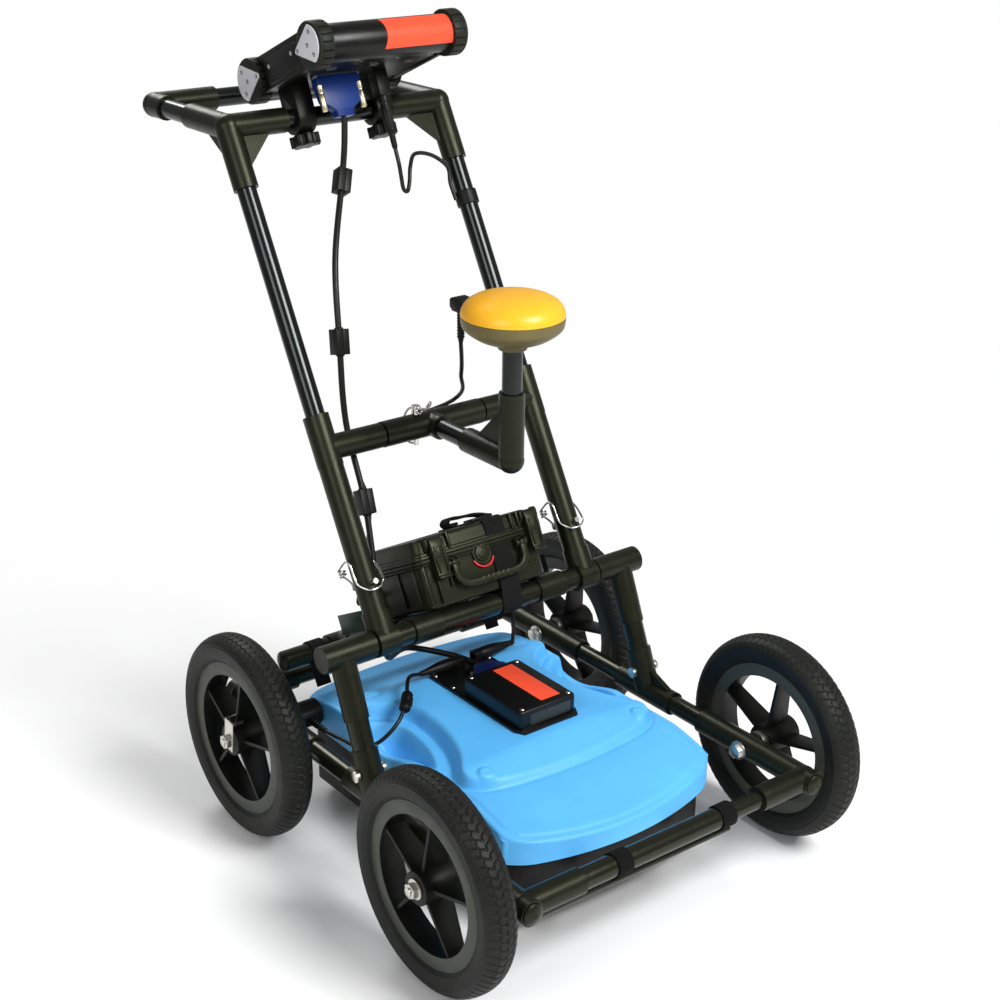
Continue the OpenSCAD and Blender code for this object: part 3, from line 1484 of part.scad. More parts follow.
module case_lid() color(soft_black) cart() at_deck() {
  wide = case_width / 2;
  difference() {
    union() {
      slab([-wide, wide], [case_front, case_rear], [case_joint + lid_gap, case_top]);
      slab([-wide - case_lip, wide + case_lip], [case_front - case_lip, case_rear + case_lip / 2],
        [case_joint + lid_gap, case_joint + lid_gap + case_lip_height]);
      for (x = [-latch_left_x, latch_right_x])
        translate([x, 0, 0]) {
          for (side = [-1, 1])
            translate([side * (latch_width / 2 + lid_gap + latch_pin / 2), 0, 0])
              slab([-latch_pin / 2, latch_pin / 2], [latch_pivot_s - latch_pin, case_front + overrun],
                [latch_pivot_h - latch_pin, case_top]);
          translate([0, latch_pivot_s, latch_pivot_h])
            rod_x(latch_pin - 2 * axle_gap, -latch_width / 2 - latch_pin, latch_width / 2 + latch_pin);
        }
      // Inner knuckles of the lid hinges
      both_sides() {
        translate([0, hinge_s, hinge_h]) rod_x(knuckle_dia, hinge_x, hinge_x + knuckle_length);
        slab([hinge_x, hinge_x + knuckle_length], [case_rear - overrun, hinge_s],
          [case_joint + lid_gap, case_joint + lid_gap + case_lip_height]);
      }
    }
    translate([0, hinge_s, hinge_h]) rod_x(hinge_pin + 2 * axle_gap, -hinge_split, hinge_split);
    slab([-wide + case_wall, wide - case_wall], [case_front + case_wall, case_rear - case_wall],
      [case_joint - overrun, case_top - case_wall]);
  }
}

module latch(x) {
  translate([x, 0, 0])
    difference() {
      union() {
        slab([-latch_width / 2, latch_width / 2], [latch_s - latch_thick, latch_s],
          [latch_pivot_h - latch_length, latch_pivot_h + latch_pin / 4]);
        translate([0, latch_pivot_s, latch_pivot_h]) rod_x(2 * latch_pin, -latch_width / 2, latch_width / 2);
      }
      translate([0, latch_pivot_s, latch_pivot_h]) rod_x(latch_pin, -latch_width, latch_width);
    }
}

module latch_left() color(tube_black) cart() at_deck() latch(-latch_left_x);

module latch_right() color(tube_black) cart() at_deck() latch(latch_right_x);

module case_handle() color(tube_black) cart() at_deck()
  translate([0, grip_pivot_s, grip_pivot_h])
    difference() {
      union() {
        for (x = [-grip_left_x, grip_right_x])
          translate([x, 0, 0]) {
            slab([-grip_width / 2, grip_width / 2], [-grip_thick / 2, grip_thick / 2], [-grip_length, 0]);
            rod_x(grip_thick * ball_share, -grip_width / 2, grip_width / 2);
          }
        slab([-grip_left_x, grip_right_x], [-grip_thick / 2, grip_thick / 2],
          [-grip_length, -grip_length + grip_width]);
      }
      rod_x(grip_pin, -case_width, case_width);
    }

module case_strap() color(tube_black) cart() at_deck()
  translate([strap_x, 0, 0])
    difference() {
      union() {
        rod_x(post_od + 2 * strap_thick, -strap_width / 2, strap_width / 2);
        slab([-strap_width / 2, strap_width / 2], [case_front - strap_thick, case_front],
          [-strap_thick, case_joint - case_lip_height - lid_gap]);
        slab([-strap_width / 2, strap_width / 2], [case_front - strap_thick, 0], [-strap_thick, 0]);
      }
      rod_x(post_od + 2 * glue_gap, -strap_width, strap_width);
    }

module strap_tail() color(tube_black) cart() at_deck()
  translate([strap_x, 0, 0]) {
    half = strap_width / 2;
    low = case_joint + lid_gap + case_lip_height + lid_gap;
    slab([-half, half], [case_front - strap_thick, case_front], [low, case_top + strap_thick]);
    slab([-half, half], [case_front - strap_thick, case_front + strap_tail_length],
      [case_top, case_top + strap_thick]);
    slab([-2 * strap_width, half],
      [case_front + strap_tail_length - strap_width, case_front + strap_tail_length],
      [case_top, case_top + 2 * strap_thick]);
  }

module main_cable() color(cable_black) cart() cable(main_points, main_cable_dia);

module encoder_cable() color(cable_black) cart() cable(encoder_points, thin_cable_dia);

module power_cable() color(cable_black) cart() cable(power_points, thin_cable_dia);

module gps_cable() color(cable_black) cart() {
  cable(gps_points, thin_cable_dia);
  translate([0, gps_plug_y + gps_neck, gps_plug_z]) {
    rod_y(gps_plug_height * gps_neck_share, -gps_neck - overrun, overrun);
    slab([-gps_plug_width / 2, gps_plug_width / 2], [0, gps_plug_length],
      [-gps_plug_height / 2, gps_plug_height / 2]);
    translate([0, gps_plug_length * gps_relief_share, -gps_plug_height / 2 + overrun])
      mirror([0, 0, 1]) relief(relief_dia, gps_relief + overrun);
  }
}

module battery_cable() color(cable_black) cart() cable(battery_points, thin_cable_dia);

module cable_ferrites() color(tube_black) cart() {
  for (i = main_ferrites)
    on_route(main_points, i * cable_steps)
      cube([ferrite_side, ferrite_side, ferrite_length], center = true);
  on_route(encoder_points, encoder_ferrite * cable_steps)
    cylinder(d = small_ferrite_dia, h = small_ferrite_length, center = true);
  at_handle(handle_x, clip_distance - clip_length / 2)
    difference() {
      union() {
        cylinder(d = tube_od + 4 * strap_thick, h = clip_length);
        slab([-tube_od / 2 - 2 * thin_cable_dia, 0], [-thin_cable_dia, thin_cable_dia], [0, clip_length]);
      }
      translate([0, 0, -overrun]) cylinder(d = tube_od + 2 * glue_gap, h = clip_length + 2 * overrun);
    }
}

module at_console_middle() {
  at_console() translate([console_offset, -console_advance, console_rise]) children();
}

module console_body() color([0.06, 0.06, 0.05]) cart() at_console_middle() {
  inner = console_width / 2 - bumper_width;
  half = console_thick / 2;
  slab([-inner, inner], [-bumper_y, bumper_y], [-half, half]);
  for (end = [-1, 1]) translate([0, end * bumper_y, 0]) rod_x(console_roll, -inner, inner);
  // Side panels between the bumpers
  slab([-console_width / 2 + side_inset, console_width / 2 - side_inset],
    [-bumper_y + bumper_dia / 2 + overrun, bumper_y - bumper_dia / 2 - overrun], [-half, half]);
}

module console_bumpers() color(rim_black) cart() at_console_middle() {
  both_sides()
    for (end = [-1, 1])
      translate([console_width / 2 - bumper_width, end * bumper_y, 0])
        difference() {
          rod_x(bumper_dia, 0, bumper_width);
          for (i = [0 : groove_count - 1])
            rotate([i * 360 / groove_count, 0, 0])
              slab([bumper_groove, bumper_width - bumper_groove], [-bumper_groove / 2, bumper_groove / 2],
                [bumper_dia / 2 - bumper_groove, bumper_dia]);
        }
}

module console_plates() color([0.72, 0.72, 0.72]) cart() at_console_middle() {
  r = bumper_dia / 2;
  both_sides()
    for (end = [-1, 1])
      translate([console_width / 2, end * bumper_y, 0]) {
        // The rear plates point down and the front ones up
        mirror([0, 0, end < 0 ? 1 : 0]) {
          rotate([90, 0, 90]) linear_extrude(corner_plate) polygon([for (p = corner_plate_shares) p * r]);
          for (p = plate_screw_shares)
            translate([0, p[0] * r, p[1] * r]) rod_x(plate_screw, corner_plate / 2, corner_plate + screw_head);
        }
      }
}

module console_screen() color([0.1, 0.12, 0.14]) cart() at_console_middle() {
  slab([-screen_width / 2, screen_width / 2], [-screen_depth / 2, screen_depth / 2],
    [console_thick / 2, console_thick / 2 + screen_thick]);
}

module console_clamps() color(tube_black) cart() at_console() {
  for (x = [-clamp_left_x, clamp_right_x])
    translate([x, 0, 0])
      difference() {
        union() {
          rod_x(clamp_od, -clamp_width / 2, clamp_width / 2);
          slab([-clamp_width / 2, clamp_width / 2], [-clamp_od / 2, clamp_od / 2 * clamp_back_share],
            [0, slab_bottom]);
        }
        rod_x(tube_od + 2 * clamp_gap, -clamp_width, clamp_width);
        rod_z(stud_dia + 2 * pin_gap, -clamp_od, 0);
      }
}

module console_plugs() color(plug_blue) cart() at_console() {
  neck = hood_neck / 2;
  wide = hood_width / 2;
  translate([-hood_x, -hood_advance, 0]) {
    translate([0, hood_thick / 2, hood_bottom])
      rotate([90, 0, 0])
        linear_extrude(hood_thick)
          polygon([[-neck, 0], [neck, 0], [wide, hood_taper], [wide, hood_height], [-wide, hood_height],
            [-wide, hood_taper]]);
    for (side = [-1, 1])
      translate([side * (wide - thumb_dia), 0, hood_bottom + hood_taper - thumb_length])
        cylinder(d = thumb_dia, h = thumb_length);
    slab([-wide, wide], [-hood_thick * hood_shell_share, hood_thick * hood_shell_share],
      [hood_bottom + hood_height - overrun, slab_bottom]);
  }
  translate([power_x, -power_advance, 0]) {
    slab([-power_socket / 2, power_socket / 2], [-power_socket / 2, power_socket / 2],
      [slab_bottom - power_socket_height, slab_bottom]);
    rod_z(power_plug_dia, power_plug_end, slab_bottom - power_socket_height + overrun);
  }
}

module knob(x) {
  notch = knob_dia * notch_share;
  translate([x, 0, knob_top - knob_height]) {
    difference() {
      cylinder(d = knob_dia, h = knob_height);
      for (i = [0 : lobe_count - 1])
        rotate([0, 0, (i + 1 / 2) * 360 / lobe_count])
          translate([knob_dia * notch_place_share, 0, -overrun])
            cylinder(d = notch, h = knob_height + 2 * overrun);
    }
    translate([0, 0, knob_height - overrun])
      cylinder(d = stud_dia, h = knob_gap + (clamp_od - tube_od) / 2);
  }
}

module knob_left() color(rim_black) cart() at_console() knob(-clamp_left_x);

module knob_right() color(rim_black) cart() at_console() knob(clamp_right_x);

base_tubes();
corner_fittings();
end_plugs();
axle_couplings();
post_feet();
post_tubes();
frame_tees();
handle_sleeves();
deck_tubes();
case_tray();
frame_bolts();
handle_tees();
upper_tubes();
handle_corners();
elbows();
lock_pins();
gps_tubes();
gps_base();
gps_dome();
antenna_shell();
antenna_skid();
antenna_straps();
radar_box();
radar_plugs();
encoder();
case_base();
battery();
case_strap();
main_cable();
encoder_cable();
power_cable();
gps_cable();
battery_cable();
cable_ferrites();
tyre_fl();
tyre_fr();
tyre_rl();
tyre_rr();
rim_fl();
rim_fr();
rim_rl();
rim_rr();
drive_axle();
console_body();
console_bumpers();
console_plates();
console_screen();
console_clamps();
console_plugs();
knob_left();
knob_right();
case_lid();
strap_tail();
latch_left();
latch_right();
case_handle();
bail_left();
bail_right();
bail_gps();
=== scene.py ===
import bpy, bmesh, json, math
from mathutils import Matrix, Vector


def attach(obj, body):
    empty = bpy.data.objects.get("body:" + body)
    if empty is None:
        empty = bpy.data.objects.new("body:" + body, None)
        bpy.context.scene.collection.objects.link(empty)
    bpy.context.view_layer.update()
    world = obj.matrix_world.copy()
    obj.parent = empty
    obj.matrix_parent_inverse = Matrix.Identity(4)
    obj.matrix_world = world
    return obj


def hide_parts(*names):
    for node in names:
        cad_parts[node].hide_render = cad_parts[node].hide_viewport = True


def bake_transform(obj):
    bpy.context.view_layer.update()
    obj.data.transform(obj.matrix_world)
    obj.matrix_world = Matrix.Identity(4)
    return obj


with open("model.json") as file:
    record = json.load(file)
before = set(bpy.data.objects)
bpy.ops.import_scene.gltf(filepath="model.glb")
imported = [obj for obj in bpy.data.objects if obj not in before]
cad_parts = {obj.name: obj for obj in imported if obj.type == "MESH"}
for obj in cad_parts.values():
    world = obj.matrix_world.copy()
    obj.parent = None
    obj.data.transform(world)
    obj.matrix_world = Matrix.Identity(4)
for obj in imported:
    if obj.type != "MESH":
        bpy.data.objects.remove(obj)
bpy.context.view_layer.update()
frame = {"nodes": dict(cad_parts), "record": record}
NODES = frame["nodes"]
BODY_OF = {n: b for b, held in frame["record"]["behaviour"]["bodies"].items() for n in held}
SCENE = bpy.context.scene

# Frames: millimetres in the cart's frame, with Y from the middle of the wheelbase, until a mesh is made
MM = 0.001
CART_MID = 139.141
CROSS = (0, 61, 336)
HANDLE_X, HANDLE_TILT, HANDLE_LONG = 181, 29.6, 749
DECK_LONG, DECK_REAR_Z = 244, 222.6
CONSOLE_TILT = 23.3
AXLE_X, AXLE_Y, AXLE_Z = 308, 231, 152.4


def sind(a):
    return math.sin(math.radians(a))


def cosd(a):
    return math.cos(math.radians(a))


def cart(x, y, z):
    return Vector((x * MM, (y - CART_MID) * MM, z * MM))


def local(x, y, z, tilt=0.0):
    """A frame in millimetres whose Y runs back and down by tilt degrees, as the deck's and handle's do."""
    turn = Matrix.Rotation(-math.radians(tilt), 4, "X")
    return Matrix.Translation(cart(x, y, z)) @ turn @ Matrix.Scale(MM, 4)


def moved(at, x, y, z):
    """A frame shifted along its own axes."""
    return at @ Matrix.Translation((x, y, z))


def tilted(origin, tilt):
    """A function that gives a point's place on the cart from its place in a tilted frame."""
    def point(x, s, h):
        y = origin[1] + s * cosd(tilt) + h * sind(tilt)
        z = origin[2] - s * sind(tilt) + h * cosd(tilt)
        return (x, y, z)
    return point


CART = local(0, 0, 0)
TOP = (0, CROSS[1] + HANDLE_LONG * sind(HANDLE_TILT), CROSS[2] + HANDLE_LONG * cosd(HANDLE_TILT))
DECK_TILT = math.degrees(math.asin((CROSS[2] - DECK_REAR_Z) / DECK_LONG))
DECK = local(*CROSS, DECK_TILT)
CONSOLE = local(*TOP, CONSOLE_TILT)
deck_point = tilted(CROSS, DECK_TILT)
handle_point = tilted(CROSS, HANDLE_TILT)
console_point = tilted(TOP, CONSOLE_TILT)


def on_handle(x, h):
    """A frame on a handle tube at x, with Z along the tube, at a height h above the cross tube."""
    return moved(local(x, CROSS[1], CROSS[2], HANDLE_TILT), 0, 0, h)


# Camera, as fitted to the photo
AZ, EL, ROLL = -38.1956, 22.4733, 0.6982
CAM_AT = cart(-1426.94, -1779.04, 1465.45)
FOCAL_PX, PHOTO_PX, SENSOR = 1788.78, 1000, 36
back = Vector((sind(AZ) * cosd(EL), -cosd(AZ) * cosd(EL), sind(EL)))
level = Vector((cosd(AZ), sind(AZ), 0))
rise = back.cross(level)
cam_axes = (cosd(ROLL) * level + sind(ROLL) * rise, cosd(ROLL) * rise - sind(ROLL) * level, back)
cam_data = bpy.data.cameras.new("camera")
cam_data.sensor_width = SENSOR
cam_data.lens = FOCAL_PX / PHOTO_PX * SENSOR
cam = bpy.data.objects.new("camera", cam_data)
SCENE.collection.objects.link(cam)
cam.matrix_world = Matrix.Translation(CAM_AT) @ Matrix(cam_axes).transposed().to_4x4()
SCENE.camera = cam

# Finishes: scales of the noise per metre, and the depth of the moulded grain in metres
DRIFT_SCALE, DIRT_SCALE, GLOSS_SCALE, GRAIN_DEPTH = 14.0, 38.0, 60.0, 0.0006
DRIFT_FROM, DRIFT_TO, DIRT_FROM, DIRT_TO = 0.3, 0.7, 0.5, 0.78
THREAD_WOBBLE = 0.6
OLIVE_SHEEN, COOL_SHEEN = (0.97, 1.0, 0.72), (0.93, 1.0, 1.0)


def feed(tree, shader, inputs):
    """Gives a node's inputs their values, or links them where the value is another node's output."""
    for key, value in inputs.items():
        if isinstance(value, bpy.types.NodeSocket):
            tree.links.new(value, shader.inputs[key])
        else:
            shader.inputs[key].default_value = value


def add(tree, kind, inputs, **settings):
    """A new shader node with its settings and inputs."""
    made = tree.nodes.new("ShaderNode" + kind)
    for key, value in settings.items():
        setattr(made, key, value)
    feed(tree, made, inputs)
    return made


def material(name, colour, rough, spec, vary, bump, grain, nodes="", metal=0.0, coat=0.0, uneven=0.12,
             dirt=0.0, dust=None, weave=0, tint=(1, 1, 1)):
    """A procedural finish: colour that drifts, uneven gloss, moulded grain and a little dust in patches."""
    m = bpy.data.materials.new(name)
    m.use_nodes = True
    t = m.node_tree
    place = add(t, "TexCoord", {}).outputs["Object"]

    def noise(scale, detail, roughness=0.6):
        inputs = {"Vector": place, "Scale": scale, "Detail": detail, "Roughness": roughness}
        return add(t, "TexNoise", inputs).outputs["Fac"]

    def ramp(fac, stops):
        made = add(t, "ValToRGB", {"Fac": fac})
        for element, (position, shade) in zip(made.color_ramp.elements, stops):
            element.position = position
            element.color = shade
        return made.outputs["Color"]

    low = [c * (1 - vary) for c in colour] + [1]
    high = [min(1, c * (1 + vary)) for c in colour] + [1]
    drift = ramp(noise(DRIFT_SCALE, 6.0), ((DRIFT_FROM, low), (DRIFT_TO, high)))
    if dirt:
        stops = ((DIRT_FROM, (0, 0, 0, 1)), (DIRT_TO, (dirt, dirt, dirt, 1)))
        patches = ramp(noise(DIRT_SCALE, 9.0, 0.7), stops)
        inputs = {"Factor": patches, "A": drift, "B": (*dust, 1)}
        drift = add(t, "Mix", inputs, data_type="RGBA").outputs["Result"]
    gloss = add(t, "MapRange", {"Value": noise(GLOSS_SCALE, 5.0), "To Min": max(0.02, rough - uneven),
                                "To Max": min(1, rough + uneven)})
    height = noise(grain, 3.0)
    if weave:
        # Two crossed sets of waves make the threads of a woven band
        top = add(t, "Math", {}, operation="MAXIMUM")
        for i, way in enumerate("XY"):
            inputs = {"Vector": place, "Scale": weave, "Distortion": THREAD_WOBBLE}
            wave = add(t, "TexWave", inputs, wave_type="BANDS", bands_direction=way)
            feed(t, top, {i: wave.outputs["Fac"]})
        height = top.outputs["Value"]
    relief = add(t, "Bump", {"Strength": bump, "Distance": GRAIN_DEPTH, "Height": height})
    feed(t, t.nodes["Principled BSDF"], {
        "Base Color": drift, "Roughness": gloss.outputs["Result"], "Normal": relief.outputs["Normal"],
        "Metallic": metal, "Specular IOR Level": spec, "Coat Weight": coat, "Specular Tint": (*tint, 1),
    })
    for node in nodes.split():
        NODE_FINISH[node] = m
        NODES[node].data.materials.clear()
        NODES[node].data.materials.append(m)
    return m


# Each has a name, colour, roughness, specular level, variation, depth and scale of grain, and its CAD nodes
NODE_FINISH = {}
material("tube_black", (0.003, 0.0034, 0.003), 0.17, 0.36, 0.25, 0.05, 900, "upper_tubes gps_tubes",
         uneven=0.06, dirt=0.25, dust=(0.02, 0.02, 0.015), tint=COOL_SHEEN)
material("rail_black", (0.0062, 0.0068, 0.0042), 0.24, 0.36, 0.25, 0.05, 900,
         "base_tubes post_tubes deck_tubes",
         uneven=0.08, dirt=0.25, dust=(0.02, 0.021, 0.014), tint=OLIVE_SHEEN)
material("fitting_black", (0.0066, 0.0074, 0.004), 0.34, 0.27, 0.22, 0.14, 1400,
         "corner_fittings end_plugs axle_couplings post_feet frame_tees "
         "handle_sleeves handle_tees handle_corners elbows",
         dirt=0.3, dust=(0.017, 0.018, 0.011), tint=OLIVE_SHEEN)
TYRE = material("tyre_rubber", (0.0078, 0.0088, 0.007), 0.52, 0.24, 0.3, 0.25, 700,
                "tyre_fl tyre_fr tyre_rl tyre_rr", dirt=0.4, dust=(0.02, 0.0215, 0.017))
# Spokes and barrel: near-black, darker than the flange as painted shade of the rim's recess
material("rim_nylon_painted_shade", (0.0042, 0.0047, 0.0036), 0.44, 0.2, 0.2, 0.12, 1600,
         "rim_fl rim_fr rim_rl rim_rr", dirt=0.3, dust=(0.012, 0.0128, 0.0098))
FLANGE = material("rim_flange", (0.05, 0.0545, 0.043), 0.46, 0.3, 0.14, 0.12, 1600,
                  dirt=0.3, dust=(0.066, 0.071, 0.058))
ZINC = material("zinc_plate", (0.66, 0.64, 0.58), 0.3, 0.5, 0.14, 0.06, 1800,
                "frame_bolts lock_pins drive_axle", metal=1.0)
STEEL_WIRE = material("spring_wire", (0.72, 0.71, 0.68), 0.22, 0.5, 0.1, 0.04, 2400,
                      "bail_left bail_right bail_gps", metal=1.0)
BRASS = material("gold_screw", (0.78, 0.68, 0.44), 0.3, 0.5, 0.12, 0.06, 2400, metal=1.0)
SHELL_BLUE = material("shell_blue", (0.105, 0.465, 0.9), 0.44, 0.32, 0.05, 0.08, 520, "antenna_shell",
                      dirt=0.06, dust=(0.2, 0.5, 0.75))
material("skid_black", (0.0055, 0.0055, 0.005), 0.5, 0.22, 0.3, 0.25, 500, "antenna_skid",
         dirt=0.3, dust=(0.025, 0.024, 0.021))
DOME_YELLOW = material("dome_yellow", (0.93, 0.46, 0.02), 0.34, 0.4, 0.06, 0.05, 1100, "gps_dome")
BASE_OLIVE = material("base_olive", (0.13, 0.105, 0.035), 0.44, 0.32, 0.12, 0.12, 1500, "gps_base")
RADAR = material("radar_black", (0.0035, 0.0035, 0.0035), 0.32, 0.34, 0.25, 0.08, 1800, "radar_box")
CONSOLE_BLACK = material("console_black", (0.0034, 0.0038, 0.003), 0.32, 0.26, 0.2, 0.1, 1500, "console_body",
                         dirt=0.2, dust=(0.02, 0.021, 0.017))
BUMPER = material("bumper_rubber", (0.0125, 0.0138, 0.0086), 0.5, 0.22, 0.2, 0.18, 1300, "console_bumpers")
PLATE = material("plate_grey", (0.62, 0.61, 0.655), 0.4, 0.35, 0.05, 0.05, 1600, "console_plates")
LABEL_RED = material("label_red", (0.86, 0.085, 0.035), 0.42, 0.22, 0.05, 0.03, 900)
LABEL_GREY = material("label_grey", (0.032, 0.035, 0.035), 0.45, 0.3, 0.15, 0.03, 900)
PLUG_BLUE = material("plug_blue", (0.003, 0.026, 0.16), 0.36, 0.3, 0.15, 0.08, 1700, "console_plugs")
PLUG_NAVY = material("plug_navy", (0.003, 0.008, 0.06), 0.4, 0.3, 0.2, 0.08, 1700)
PLUG_BLACK = material("plug_black", (0.0042, 0.0046, 0.0036), 0.42, 0.2, 0.2, 0.1, 1700,
                      "radar_plugs encoder cable_ferrites console_clamps knob_left knob_right")
CABLE = material("cable_black", (0.006, 0.0062, 0.005), 0.4, 0.32, 0.2, 0.05, 2200,
                 "main_cable encoder_cable power_cable gps_cable battery_cable")
CASE = material("case_black", (0.0088, 0.0098, 0.005), 0.36, 0.27, 0.25, 0.2, 1100,
                "case_base case_lid latch_left latch_right case_handle",
                dirt=0.3, dust=(0.022, 0.0235, 0.014), tint=OLIVE_SHEEN)
material("tray_green", (0.005, 0.019, 0.011), 0.4, 0.28, 0.15, 0.08, 1300, "case_tray")
WEBBING = material("webbing_black", (0.0065, 0.0065, 0.006), 0.86, 0.18, 0.3, 0.6, 900,
                   "case_strap strap_tail", weave=520)
HOOK = material("hook_loop_black", (0.005, 0.005, 0.005), 0.92, 0.15, 0.35, 0.8, 2600, "antenna_straps")
material("screen_glass", (0.009, 0.011, 0.013), 0.12, 0.45, 0.15, 0.02, 300, "console_screen", coat=0.3)
VALVE_RED = material("valve_red", (0.62, 0.015, 0.025), 0.35, 0.4, 0.1, 0.05, 1500)
material("battery_grey", (0.03, 0.03, 0.033), 0.5, 0.5, 0.2, 0.1, 1300, "battery")

# Mesh tools, in millimetres
YZX, XZY = (1, 2, 0), (0, 2, 1)
ON_AXIS, STEEP = 1e-6, 0.8
WELD, FLAT_ANGLE = 1e-6, 1


def both(half, mid=0.0):
    """The two ends of a stretch about its middle."""
    return (mid - half, mid + half)


def polar(r, a):
    return (r * cosd(a), r * sind(a))


def circle(r, n=16):
    return [polar(r, 360 * k / n) for k in range(n)]


def mirrored(half):
    """A whole outline from its half on the side of positive values."""
    other = [(-a, b) for a, b in reversed(half)]
    return other[-1:] + half + other[:-1]


def rounded(w, h, r, n=4, mid=0.0):
    """A rectangle w by h with round corners, n steps each, its middle moved along the second axis."""
    out = []
    for i, (sx, sy) in enumerate(((1, 1), (-1, 1), (-1, -1), (1, -1))):
        for k in range(n + 1):
            a, b = polar(r, 90 * (i + k / n))
            out.append((sx * (w / 2 - r) + a, mid + sy * (h / 2 - r) + b))
    return out


def join(bm, a, b):
    """A belt of faces between two rings of as many vertices."""
    for k in range(len(a)):
        j = (k + 1) % len(a)
        bm.faces.new((a[k], a[j], b[j], b[k]))


def skin(bm, rings, closed=False):
    """Faces over rings of vertices in order; the run meets its own start or is capped at both ends."""
    for a, b in zip(rings, rings[1:]):
        join(bm, a, b)
    if closed:
        join(bm, rings[-1], rings[0])
    else:
        bm.faces.new(rings[0][::-1])
        bm.faces.new(rings[-1])


def box(bm, x, y, z):
    """A closed box from pairs of ends."""
    v = [bm.verts.new((a, b, c)) for c in z for b in y for a in x]
    for f in ((0, 2, 3, 1), (4, 5, 7, 6), (0, 1, 5, 4), (2, 6, 7, 3), (0, 4, 6, 2), (1, 3, 7, 5)):
        bm.faces.new([v[i] for i in f])


def loft(bm, rings):
    """Rings of equal counts, each ((x, y) points, height), joined in order and capped at both ends."""
    skin(bm, [[bm.verts.new((a, b, h)) for a, b in points] for points, h in rings])


def prism(bm, outline, low, high, axes=(0, 1, 2)):
    """An outline in the plane of the first two axes, drawn out along the third from low to high."""
    rings = []
    for h in (low, high):
        places = [dict(zip(axes, (a, b, h))) for a, b in outline]
        rings.append([bm.verts.new((p[0], p[1], p[2])) for p in places])
    skin(bm, rings)


def lathe(bm, profile, axis="Z", at=(0, 0, 0), n=48):
    """(radius, height) points turned about an axis; a zero radius closes on the axis."""
    turn = "ZXY".index(axis)
    rings = []
    for r, h in profile:
        spots = [(0, 0, h)] if r < ON_AXIS else [(a, b, h) for a, b in circle(r, n)]
        rings.append([bm.verts.new(Vector(at) + Vector(p[-turn:] + p[:-turn])) for p in spots])
    for a, b in zip(rings, rings[1:]):
        if len(a) == len(b):
            join(bm, a, b)
        else:
            (tip,), ring = sorted((a, b), key=len)
            for k in range(n):
                bm.faces.new((tip, ring[k], ring[(k + 1) % n]))
    for ring in (rings[0][::-1], rings[-1]):
        if len(ring) > 1:
            bm.faces.new(ring)


def rod(bm, r, ends, axis="Z", at=(0, 0, 0), n=24):
    lathe(bm, [(r, ends[0]), (r, ends[1])], axis, at, n)


def catmull(points, steps):
    """A smooth run through the points, the same curve as the CAD cables follow."""
    p = [Vector(q) for q in points]
    out = []
    for i in range(len(p) - 1):
        a, b, c, d = p[max(i - 1, 0)], p[i], p[i + 1], p[min(i + 2, len(p) - 1)]
        for t in (j / steps for j in range(steps)):
            bend = (2 * a - 5 * b + 4 * c - d) * t ** 2 + (3 * b - a - 3 * c + d) * t ** 3
            out.append(0.5 * (2 * b + (c - a) * t + bend))
    return out + [p[-1]]


def beside(head):
    """A direction across a heading, level unless the heading is steep."""
    return head.cross(Vector((0, 0, 1)) if abs(head.z) < STEEP else Vector((1, 0, 0))).normalized()


def sweep(bm, path, section, start=None):
    """A section (points across the path), or a function of the share of the way, carried without twisting."""
    last = len(path) - 1
    side = Vector(start) if start else beside((path[1] - path[0]).normalized())
    rings = []
    for i, spot in enumerate(path):
        head = (path[min(i + 1, last)] - path[max(i - 1, 0)]).normalized()
        side = (side - side.dot(head) * head).normalized()
        other = head.cross(side)
        points = section(i / last) if callable(section) else section
        rings.append([bm.verts.new(spot + a * side + b * other) for a, b in points])
    skin(bm, rings)


def finished(name, bm, body, finish, at, bevel=0.0, segments=2, angle=30, smooth=35, thick=0.0, node=None):
    """The object of a bmesh in the frame at, with eased edges and a finish, on a CAD body."""
    me = bpy.data.meshes.new(name)
    bm.to_mesh(me)
    bm.free()
    me.transform(at)
    ob = bpy.data.objects.new(name, me)
    SCENE.collection.objects.link(ob)
    if bevel:
        edge = ob.modifiers.new("edge", "BEVEL")
        edge.width = bevel * MM
        edge.segments = segments
        edge.limit_method = "ANGLE"
        edge.angle_limit = math.radians(angle)
        edge.use_clamp_overlap = True
    if thick:
        wall = ob.modifiers.new("wall", "SOLIDIFY")
        wall.thickness = thick * MM
        wall.offset = 1.0
    if ob.modifiers:
        done = bpy.data.meshes.new_from_object(ob.evaluated_get(bpy.context.evaluated_depsgraph_get()))
        ob.modifiers.clear()
        ob.data = done
    for f in ob.data.polygons:
        f.use_smooth = True
    ob.data.set_sharp_from_angle(angle=math.radians(smooth))
    ob.data.materials.clear()
    ob.data.materials.append(finish)
    if node:
        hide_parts(node)
    if body:
        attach(ob, body)
    return ob


def piece(name, bm, finish, at=CART, body="chassis", **dressing):
    """A named piece of the object from a bmesh in millimetres, its faces turned outwards."""
    bmesh.ops.recalc_face_normals(bm, faces=bm.faces)
    return finished(name, bm, body, finish, at, **dressing)


def from_node(node, bevel):
    """A copy of a CAD node with its edges eased, in the node's place."""
    bm = bmesh.new()
    bm.from_mesh(NODES[node].data)
    bmesh.ops.remove_doubles(bm, verts=bm.verts, dist=WELD)
    bmesh.ops.dissolve_limit(bm, angle_limit=math.radians(FLAT_ANGLE), verts=bm.verts, edges=bm.edges)
    as_made = Matrix.Identity(4)
    return finished(node + "_finish", bm, BODY_OF[node], NODE_FINISH[node], as_made, bevel=bevel, node=node)


